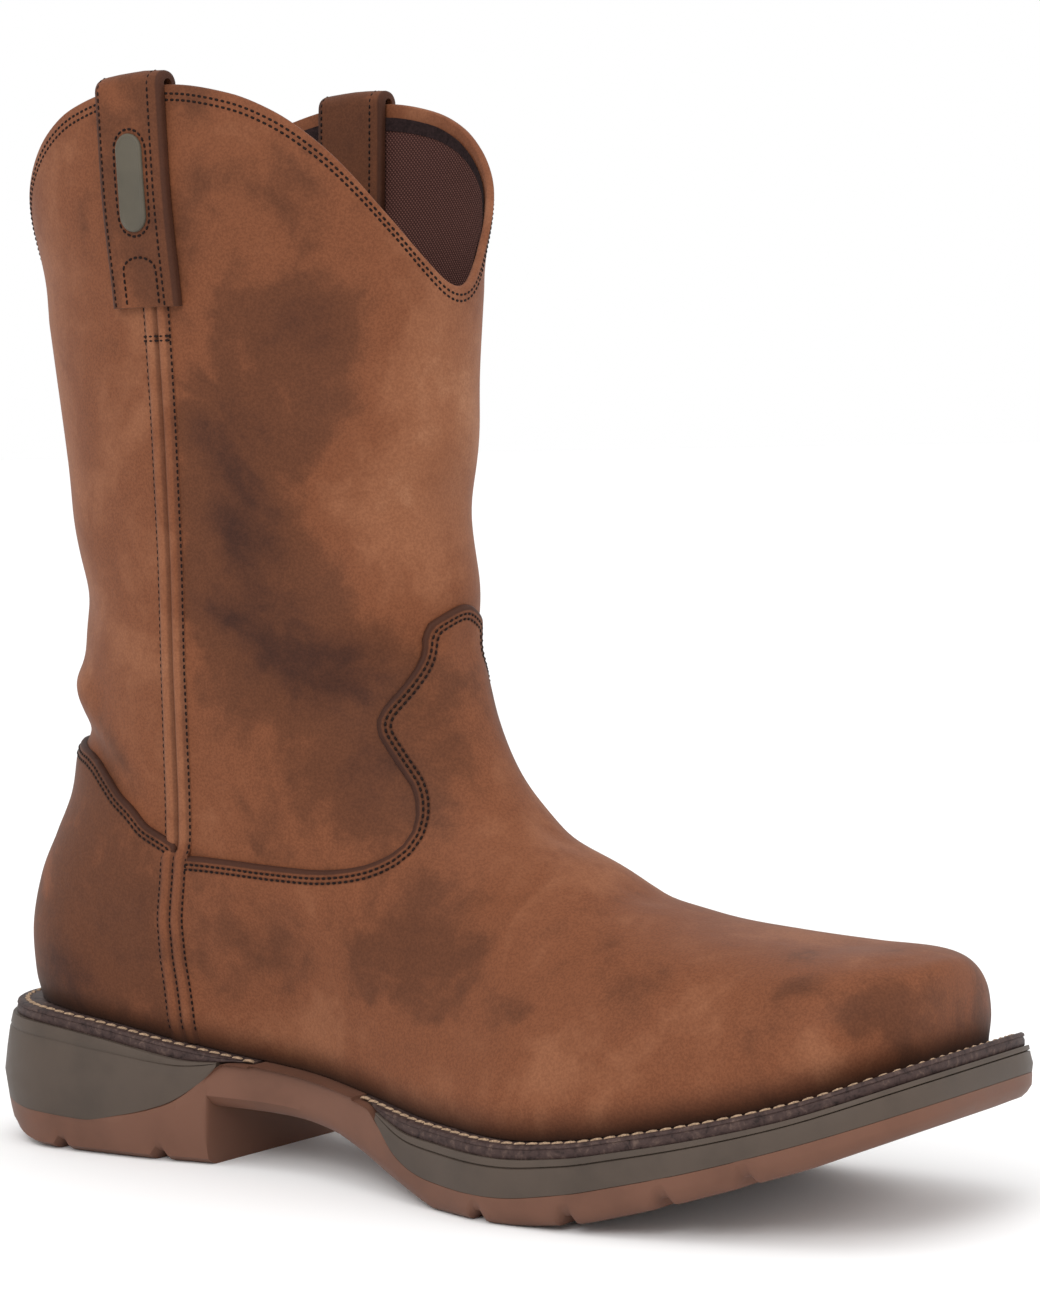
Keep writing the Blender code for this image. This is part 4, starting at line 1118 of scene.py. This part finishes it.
def fine_stations(start, end, corners=()):
    """Places along the sole, closer together at its round ends, with the given corners among them."""
    quarter = np.linspace(0.0, math.pi / 2, 16)
    heel, toe = HEEL_CAP[0] * SOLE_LENGTH, TOE_CAP[0] * SOLE_LENGTH
    places = [heel * (1 - np.cos(quarter)), SOLE_LENGTH - toe * (1 - np.cos(quarter)) ** 1.3]
    places.append(np.linspace(heel, SOLE_LENGTH - toe, SOLE_STATIONS))
    ends = np.array([start, end, *corners])
    kept = [p for p in np.concatenate(places) if np.abs(ends - p).min() > 0.0004]
    xs = np.unique(np.round([*ends, *kept], 6))
    return xs[(xs >= start - 1e-6) & (xs <= end + 1e-6)]


def layered(name, xs, low, high, profile, material):
    """A sole piece between two heights: profile rows are share of height and inset of the wall."""
    slope = np.gradient(high, xs)
    levels = []
    for share, inset in profile:
        x, outer, inner, z = wall_level(xs, low + (high - low) * share, inset)
        levels.append((x, outer, inner, z + slope * (x - xs) * share))
    return build(name, *stack(levels), material)


def make_welt(name, start, end, material):
    """A welt strip with rounded edges."""
    xs = fine_stations(start * SOLE_LENGTH, end * SOLE_LENGTH)
    top = feather(xs)
    levels = []
    free_end = end if start == 0.0 else start
    taper = 0.0030 * smooth(1.0 - np.abs(xs - free_end * SOLE_LENGTH) / 0.012)
    thin = welt_depth(xs) / WELT_THICKNESS
    for inset, down in WELT_PROFILE:
        levels.append(sole_level(xs, -inset - taper, top - down * thin))
    return build(name, *stack(levels), material, 60.0)


def welt_line(start, end):
    """The line of the welt's sewing round one end of the sole."""
    t = np.linspace(0.0, math.pi / 2, 400)
    along = end * (1 - np.cos(t)) if start == 0.0 else start + (end - start) * np.sin(t)
    x, outer, inner, _ = sole_level(along * SOLE_LENGTH, -WELT_ROW, None)
    z = feather(x) + SEWN_LIFT
    a, b = np.stack([x, outer, z], axis=1), np.stack([x, inner, z], axis=1)
    line = np.vstack([a[::-1], b[1:]]) if start == 0.0 else np.vstack([a, b[::-1][1:]])
    return line, np.tile([0.0, 0.0, 1.0], (len(line), 1))


# Materials

class Shade:
    """A Principled material, with short names for the nodes that feed it."""

    def __init__(self, name, colour, roughness, **sockets):
        self.item = bpy.data.materials.new(name)
        self.item.use_nodes = True
        self.tree = self.item.node_tree
        self.sockets = self.tree.nodes["Principled BSDF"].inputs
        self.set(Base_Color=colour, Roughness=roughness, **sockets)

    def feed(self, socket, value):
        """Links an output to a socket, or sets a number or a colour on it."""
        if isinstance(value, bpy.types.NodeSocket):
            self.tree.links.new(value, socket)
        else:
            socket.default_value = (*value, 1.0) if isinstance(value, tuple) else value

    def set(self, **sockets):
        for key, value in sockets.items():
            self.feed(self.sockets[key.replace("_", " ")], value)
        return self.item

    def node(self, kind, **settings):
        made = self.tree.nodes.new("ShaderNode" + kind)
        for key, value in settings.items():
            if hasattr(made, key):
                setattr(made, key, value)
            else:
                self.feed(made.inputs[key.replace("_", " ")], value)
        return made

    def place(self):
        return self.node("TexCoord").outputs["Object"]

    def noise(self, place, scale, detail=3.0, rough=0.55, distort=0.0):
        return self.node("TexNoise", Vector=place, Scale=scale, Detail=detail, Roughness=rough,
                         Distortion=distort).outputs["Fac"]

    def math(self, operation, a, b=0.0, clamp=False):
        made = self.node("Math", operation=operation, use_clamp=clamp)
        self.feed(made.inputs[0], a)
        self.feed(made.inputs[1], b)
        return made.outputs[0]

    def add(self, a, b):
        return self.math("ADD", a, b)

    def times(self, a, b):
        return self.math("MULTIPLY", a, b)

    def fall(self, value, width):
        """1 where a value is 0, and 0 where it is a width or more."""
        return self.math("SUBTRACT", 1.0, self.math("DIVIDE", value, width), clamp=True)

    def near(self, value, at, width):
        """1 where a value is close to a place, 0 away from it."""
        return self.fall(self.math("ABSOLUTE", self.math("SUBTRACT", value, at)), width)

    def ramp(self, value, *stops):
        made = self.node("ValToRGB", Fac=value)
        made.color_ramp.interpolation = "EASE"
        while len(made.color_ramp.elements) < len(stops):
            made.color_ramp.elements.new(0.5)
        for element, (at, colour) in zip(made.color_ramp.elements, stops):
            element.position, element.color = at, (*colour, 1.0)
        return made.outputs["Color"]

    def mix(self, share, a, b, blend="MIX"):
        made = self.node("Mix", data_type="RGBA", blend_type=blend)
        for socket, value in zip((0, 6, 7), (share, a, b)):
            self.feed(made.inputs[socket], value)
        return made.outputs[2]

    def bump(self, height, strength, distance, **under):
        made = self.node("Bump", Height=height, Strength=strength, Distance=distance, **under)
        return made.outputs["Normal"]


def leather(name, lift=0.0, sewn=True, edge_dark=1.0):
    """Oiled nubuck: plum to tan patches, fine nap, dark cut edges, painted shade in the sewing grooves and
    painted shade along the welt.
    """
    look = Shade(name, LEATHER_MID, 0.62, Specular_IOR_Level=0.12, Sheen_Weight=0.02, Sheen_Roughness=0.45)
    place = look.place()
    tone, edge, rise = (
        look.node("Attribute", attribute_name=key).outputs["Fac"] for key in ("tone", "edge", "rise"))
    wide, small = look.noise(place, 24.0, 4.0, 0.58, 0.6), look.noise(place, 95.0, 4.0, 0.6, 0.4)
    level = look.add(look.times(tone, 0.26), lift + 0.5)
    for clouds, share in ((wide, 0.70), (small, 0.30)):
        level = look.add(level, look.times(look.math("SUBTRACT", clouds, 0.5), share))
    nap = look.noise(place, 1500.0, 3.0, 0.65)
    grain = look.ramp(nap, (0.35, (0.0, 0.0, 0.0)), (0.65, (1.0, 1.0, 1.0)))
    colour = look.mix(0.14, look.ramp(level, *LEATHER_STOPS), grain, "SOFT_LIGHT")
    # Painted shade: the leather darkens to near black over its lowest 11 mm, where the upper meets the welt.
    foot = look.times(look.math("POWER", look.fall(rise, 11.0), 1.5), 0.95)
    colour = look.mix(foot, colour, LEATHER_PAINTED_SHADE)
    rim = look.times(look.math("SMOOTH_MIN", look.times(look.fall(edge, 1.6), 3.0), 1.0), 0.85 * edge_dark)
    colour = look.mix(rim, colour, LEATHER_EDGE)
    normal = look.bump(look.noise(place, 130.0, 3.0, 0.5, 0.8), 0.22, 0.0006)
    normal = look.bump(look.noise(place, 520.0, 5.0, 0.62, 0.2), 0.30, 0.00018, Normal=normal)
    normal = look.bump(nap, 0.25, 0.00008, Normal=normal)
    # Painted shade in the sewing grooves, 2.2 and 3.6 mm in from the cut edge, under the rows of stitches.
    if sewn:
        lines = look.math("MAXIMUM", look.near(edge, 2.2, 0.7), look.near(edge, 3.6, 0.7))
        colour = look.mix(look.times(lines, 0.55), colour, LEATHER_PAINTED_SHADE)
        normal = look.bump(look.times(lines, -1.0), 0.7, 0.0004, Normal=normal)
    return look.set(Base_Color=colour, Normal=normal, Roughness=look.add(look.times(wide, 0.22), 0.50))


def rubber(name, colour, dark, roughness):
    """Moulded rubber with a faint bloom and a fine grain."""
    look = Shade(name, colour, roughness, Specular_IOR_Level=0.16)
    place = look.place()
    shade = look.ramp(look.noise(place, 40.0, 4.0, 0.6), (0.30, dark), (0.62, colour))
    rough = look.add(look.times(look.noise(place, 160.0, 3.0), 0.2), roughness - 0.1)
    return look.set(Base_Color=shade, Normal=look.bump(look.noise(place, 900.0, 4.0, 0.6), 0.18, 0.00012),
                    Roughness=rough)


def welt_leather(name):
    """Dark waxed welt with fibres along its cut edge."""
    look = Shade(name, (0.05, 0.032, 0.028), 0.6, Specular_IOR_Level=0.15)
    fibre = look.noise(look.place(), 420.0, 5.0, 0.7, 0.5)
    colour = look.ramp(fibre, (0.30, (0.018, 0.011, 0.010)), (0.50, (0.048, 0.029, 0.026)),
                       (0.75, (0.115, 0.075, 0.060)))
    return look.set(Base_Color=colour, Normal=look.bump(fibre, 0.6, 0.0003))


def mesh_lining(name):
    """Mauve-brown woven mesh: small holes in diagonal rows."""
    look = Shade(name, (0.10, 0.045, 0.040), 0.85, Specular_IOR_Level=0.1)
    turned = look.node("Mapping", Vector=look.place())
    turned.inputs["Rotation"].default_value = (0.0, math.radians(45), 0.0)
    weave = look.times(*(
        look.node("TexWave", wave_type="BANDS", bands_direction=axis, Scale=360.0, Distortion=0.3,
                  Vector=turned.outputs["Vector"]).outputs["Fac"] for axis in ("X", "Z")))
    colour = look.ramp(weave, (0.05, (0.046, 0.018, 0.015)), (0.55, (0.135, 0.060, 0.048)))
    return look.set(Base_Color=colour, Normal=look.bump(weave, 0.6, 0.0004))


def plain_cloth(name, colour, scale, roughness=0.85):
    """Thread or cloth: fine irregular fibres."""
    look = Shade(name, colour, roughness, Specular_IOR_Level=0.1)
    fibre = look.noise(look.place(), scale, 4.0, 0.7)
    dark, light = (tuple(c * share for c in colour) for share in (0.55, 1.3))
    colour = look.ramp(fibre, (0.3, dark), (0.7, light))
    return look.set(Base_Color=colour, Normal=look.bump(fibre, 0.5, 0.0002))


# Leather colours, dark plum to light tan
LEATHER_MID = (0.160, 0.054, 0.026)
# Painted shade colour, used for the band along the welt and for the sewing grooves.
LEATHER_PAINTED_SHADE = (0.012, 0.005, 0.003)
LEATHER_EDGE = (0.030, 0.011, 0.007)
LEATHER_STOPS = [
    (0.10, (0.040, 0.014, 0.008)),
    (0.36, (0.094, 0.032, 0.014)),
    (0.52, (0.152, 0.051, 0.022)),
    (0.70, (0.205, 0.078, 0.037)),
    (0.92, (0.290, 0.132, 0.070)),
]

CREASE_LINES = crease_lines()
grid = np.array([fine_ring(row) for row in rows_between(ROWS)])
grid_normal = outward(grid, lean(grid, True))
grid_normal[[0, -1], :, 2] = 0.0
grid_normal /= np.linalg.norm(grid_normal, axis=2, keepdims=True)
grid = grid + grid_normal * crease_depth(grid)[..., None]
grid_normal[1:-1] = outward(grid, lean(grid, True))[1:-1]
rows, columns = grid.shape[:2]
FORM = np.concatenate([grid, grid_normal], axis=2).reshape(-1, 6)
quads = np.array(grid_faces(rows, columns, True))
FORM_TRIS = np.vstack([quads[:, [0, 1, 2]], quads[:, [0, 2, 3]]])

hide = leather("oiled nubuck", sewn=False, edge_dark=0.0)
panel_hide = leather("oiled nubuck panels", lift=0.02)
counter_hide = leather("oiled nubuck counter", lift=-0.07)
strip_hide = leather("oiled nubuck strips", lift=0.02, sewn=False, edge_dark=0.45)
strap_hide = leather("oiled nubuck straps", lift=-0.05, sewn=False, edge_dark=0.8)
welt_hide = welt_leather("waxed welt")
lining = mesh_lining("mesh lining")
binding = plain_cloth("collar binding", (0.022, 0.012, 0.012), 900.0)
dark_thread = plain_cloth("dark thread", (0.012, 0.006, 0.005), 1600.0, 0.6)
cream_thread = plain_cloth("cream thread", (0.38, 0.26, 0.17), 1800.0, 0.7)
gum = rubber("gum rubber", (0.142, 0.066, 0.043), (0.112, 0.052, 0.034), 0.52)
olive = rubber("olive rubber", (0.074, 0.055, 0.043), (0.057, 0.043, 0.034), 0.52)
badge_rubber = rubber("badge rubber", (0.088, 0.076, 0.056), (0.070, 0.061, 0.046), 0.42)
foam = plain_cloth("footbed cloth", (0.055, 0.036, 0.032), 700.0)


def make_upper():
    """The shaft and foot as one leather wall, with a rounded cut edge at the collar."""
    lip = [grid[-1] + grid_normal[-1] * out + np.array([0.0, 0.0, up]) for out, up in COLLAR_LIP]
    inside = (grid - grid_normal * LEATHER)[::-1][1::2]
    shell = np.concatenate([grid[:-1], np.array(lip), inside], axis=0)
    verts = shell.reshape(-1, 3)
    faces = grid_faces(*shell.shape[:2], True, True)
    cut = [0.6, 0.2, 0.2, 0.2, 0.6]
    edge = np.repeat(np.concatenate([np.full(rows - 1, 5.0), cut, np.full(len(inside), 5.0)]), columns)
    return build("upper_shell", verts, faces, hide, 60.0, tone=tone_at(verts), edge=edge,
                 rise=height_over_welt(verts))


def inside_sheet(name, first, last, depth, material):
    """Cloth on the inside of the shaft, from one row of the form to another."""
    sheet = (grid - grid_normal * depth)[first:last]
    return build(name, sheet.reshape(-1, 3), grid_faces(*sheet.shape[:2], True, False), material)


def piece(item, slot_name, *nodes):
    """Hides the CAD nodes that a piece stands for; the slot name is not used."""
    if nodes:
        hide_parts(*nodes)


sewing = []
piece(make_upper(), "leather", "upper")
inside_sheet("lining_sheet", LINING_FROM, rows - BINDING_ROWS, LEATHER + 0.0002, lining)
inside_sheet("collar_binding", rows - BINDING_ROWS - 1, rows - 1, LEATHER + 0.0005, binding)
for target, slot_name, (item, lines) in (
    ("vamp", "leather", panel("vamp_panel", *vamp_outline(), OVERLAY, panel_hide)),
    ("heel_counter", "leather", panel("counter_panel", *counter_outline(), OVERLAY, counter_hide)),
    ("seam_strip_lateral", "leather", seam_strip("strip_lateral", -1, strip_hide)),
    ("seam_strip_medial", "leather", seam_strip("strip_medial", 1, strip_hide)),
    ("pull_strap_lateral", "leather", strap("strap_lateral", -1, STRAP_CENTRE_LATERAL, strap_hide)),
    ("pull_strap_medial", "leather", strap("strap_medial", 1, STRAP_CENTRE_MEDIAL, strap_hide)),
    ("strap_badge", "badge_rubber", badge(badge_rubber)),
):
    piece(item, slot_name, target)
    sewing += lines

# Two rows of sewing follow the collar
reach = np.cumsum(np.linalg.norm(np.diff(grid[::-1], axis=0), axis=2), axis=0)
depth_below = np.vstack([np.zeros((1, columns)), reach])[::-1].reshape(-1)
for inset in COLLAR_ROWS:
    for line in level_lines(FORM, FORM_TRIS, depth_below, inset):
        sewing.append((line[:, :3], line[:, 3:6]))

verts, faces = sew(sewing, STITCH_PITCH, STITCH_LENGTH, STITCH_WIDTH)
piece(build("stitches", verts, faces, dark_thread, 80.0), "leather")

piece(make_welt("welt_heel_strip", 0.0, ARCH_START, welt_hide), "welt_leather", "welt_heel")
piece(make_welt("welt_forefoot_strip", ARCH_END, 1.0, welt_hide), "welt_leather", "welt_forefoot")
welt_lines = [welt_line(0.0, ARCH_START), welt_line(ARCH_END, 1.0)]
for number, turn, spread in ((1, 0.24, 0.00022), (2, 0.24, -0.00022)):
    verts, faces = sew(welt_lines, WELT_PITCH, WELT_STITCH, WELT_THREAD, turn, spread)
    build("welt_thread_%d" % number, verts, faces, cream_thread, 80.0)

for target, start, end, profile in (
    ("midsole_heel", 0.0, HEEL_INSERT_END, INSERT_HEEL),
    ("midsole_forefoot", FOREFOOT_INSERT_START, 1.0, INSERT_FOREFOOT),
):
    xs = fine_stations(start * SOLE_LENGTH, end * SOLE_LENGTH)
    item = layered(target + "_block", xs, rubber_top(xs), feather(xs) - welt_depth(xs), profile, olive)
    piece(item, "midsole_rubber", target)

corners = [HEEL_SEAT_LENGTH, HEEL_SEAT_LENGTH + BREAST_SLOPE, BEVEL_LENGTH]
for end, way in ((ARCH_START, 1), (ARCH_END, -1)):
    corners += [end * SOLE_LENGTH + way * 2 * GAP, end * SOLE_LENGTH + way * 5 * GAP]
for share in GROOVES:
    corners += [share * SOLE_LENGTH + off * GROOVE_WIDTH for off in (-0.5, -1 / 6, 1 / 6, 0.5)]
xs = fine_stations(0.0, SOLE_LENGTH, corners)
low, high = underside(xs), rubber_top(xs)
flat = np.zeros(len(xs))
levels = [
    sole_level(xs, flat - TREAD_INSET, low),
    sole_level(xs, flat - TREAD_INSET * 0.35, low + 0.16 * TREAD_EDGE),
    sole_level(xs, bulge(xs, flat + 0.1) - TREAD_INSET * 0.10, low + 0.5 * TREAD_EDGE),
]
edge = low + TREAD_EDGE
levels += [wall_level(xs, edge + (high - edge) * share) for share in (0.0, 0.25, 0.5, 0.75, 0.96)]
levels.append(sole_level(xs, bulge(xs, flat + 0.6) - 0.0004, high))
piece(build("outsole_block", *stack(levels), gum, 40.0), "outsole_rubber", "outsole")

inset = LEATHER + 2 * GAP
xs = fine_stations(0.0, SOLE_LENGTH)
inner = inside_stations(xs, inset)
sides = -foot_half(inner, -1, inset), foot_half(inner, 1, inset)
low = feather(inner) - WELT_THICKNESS + GAP
levels = [(inner, *sides, low), (inner, *sides, low + INSOLE_THICKNESS - 0.001)]
piece(build("footbed", *stack(levels), foam), "footbed", "insole")

# Floor, light and camera
bpy.ops.mesh.primitive_plane_add(size=40.0, location=(0.0, 0.0, 0.0))
floor = bpy.context.object
floor.name = "floor"
floor.data.materials.append(Shade("pale floor", (0.92, 0.92, 0.92), 0.9).item)

bpy.context.scene.view_settings.view_transform = "Standard"
world = bpy.data.worlds.new("studio")
bpy.context.scene.world = world
world.use_nodes = True
background = world.node_tree.nodes["Background"].inputs
background["Color"].default_value = (1.0, 1.0, 1.0, 1.0)
background["Strength"].default_value = 1.0


def light(name, kind, power):
    data = bpy.data.lights.new(name, kind)
    data.energy = power
    return linked(bpy.data.objects.new(name, data))


# Softboxes, aimed at the boot's middle
for name, place, power in (("key", (0.5, -1.7, 1.2), 13.0), ("front", (1.7, 0.3, 0.9), 6.0)):
    item = light(name, "AREA", power)
    item.data.size = 0.8
    item.location = place
    item.rotation_euler = (Vector((0.10, 0.0, 0.14)) - Vector(place)).to_track_quat("-Z", "Y").to_euler()
sun = light("sky", "SUN", 0.6)
sun.data.angle = math.radians(50)
sun.rotation_euler = (math.radians(24), math.radians(8), 0.0)

turn = math.radians(VIEW_TURN)
aim = np.array([AIM_ALONG_VIEW * math.cos(turn), AIM_ALONG_VIEW * math.sin(turn), 0.0])
eye = aim + VIEW_DISTANCE * np.array([math.sin(turn), -math.cos(turn), 0.0]) + np.array([0, 0, VIEW_HEIGHT])
aim = aim + np.array([0.0, 0.0, AIM_HEIGHT])
forward = (aim - eye) / np.linalg.norm(aim - eye)
right = np.cross(forward, [0, 0, 1.0])
right /= np.linalg.norm(right)
up = np.cross(right, forward)
roll = math.radians(VIEW_ROLL)
right, up = right * math.cos(roll) + up * math.sin(roll), up * math.cos(roll) - right * math.sin(roll)
camera_data = bpy.data.cameras.new("camera")
camera_data.sensor_width = LONG_SIDE
camera_data.lens = FOCAL_SHARE * LONG_SIDE
camera = linked(bpy.data.objects.new("camera", camera_data))
basis = Matrix([right, up, -forward]).transposed().to_4x4()
camera.matrix_world = Matrix.Translation(Vector(eye - np.array([REST_CENTRE, 0.0, 0.0]))) @ basis
bpy.context.scene.camera = camera
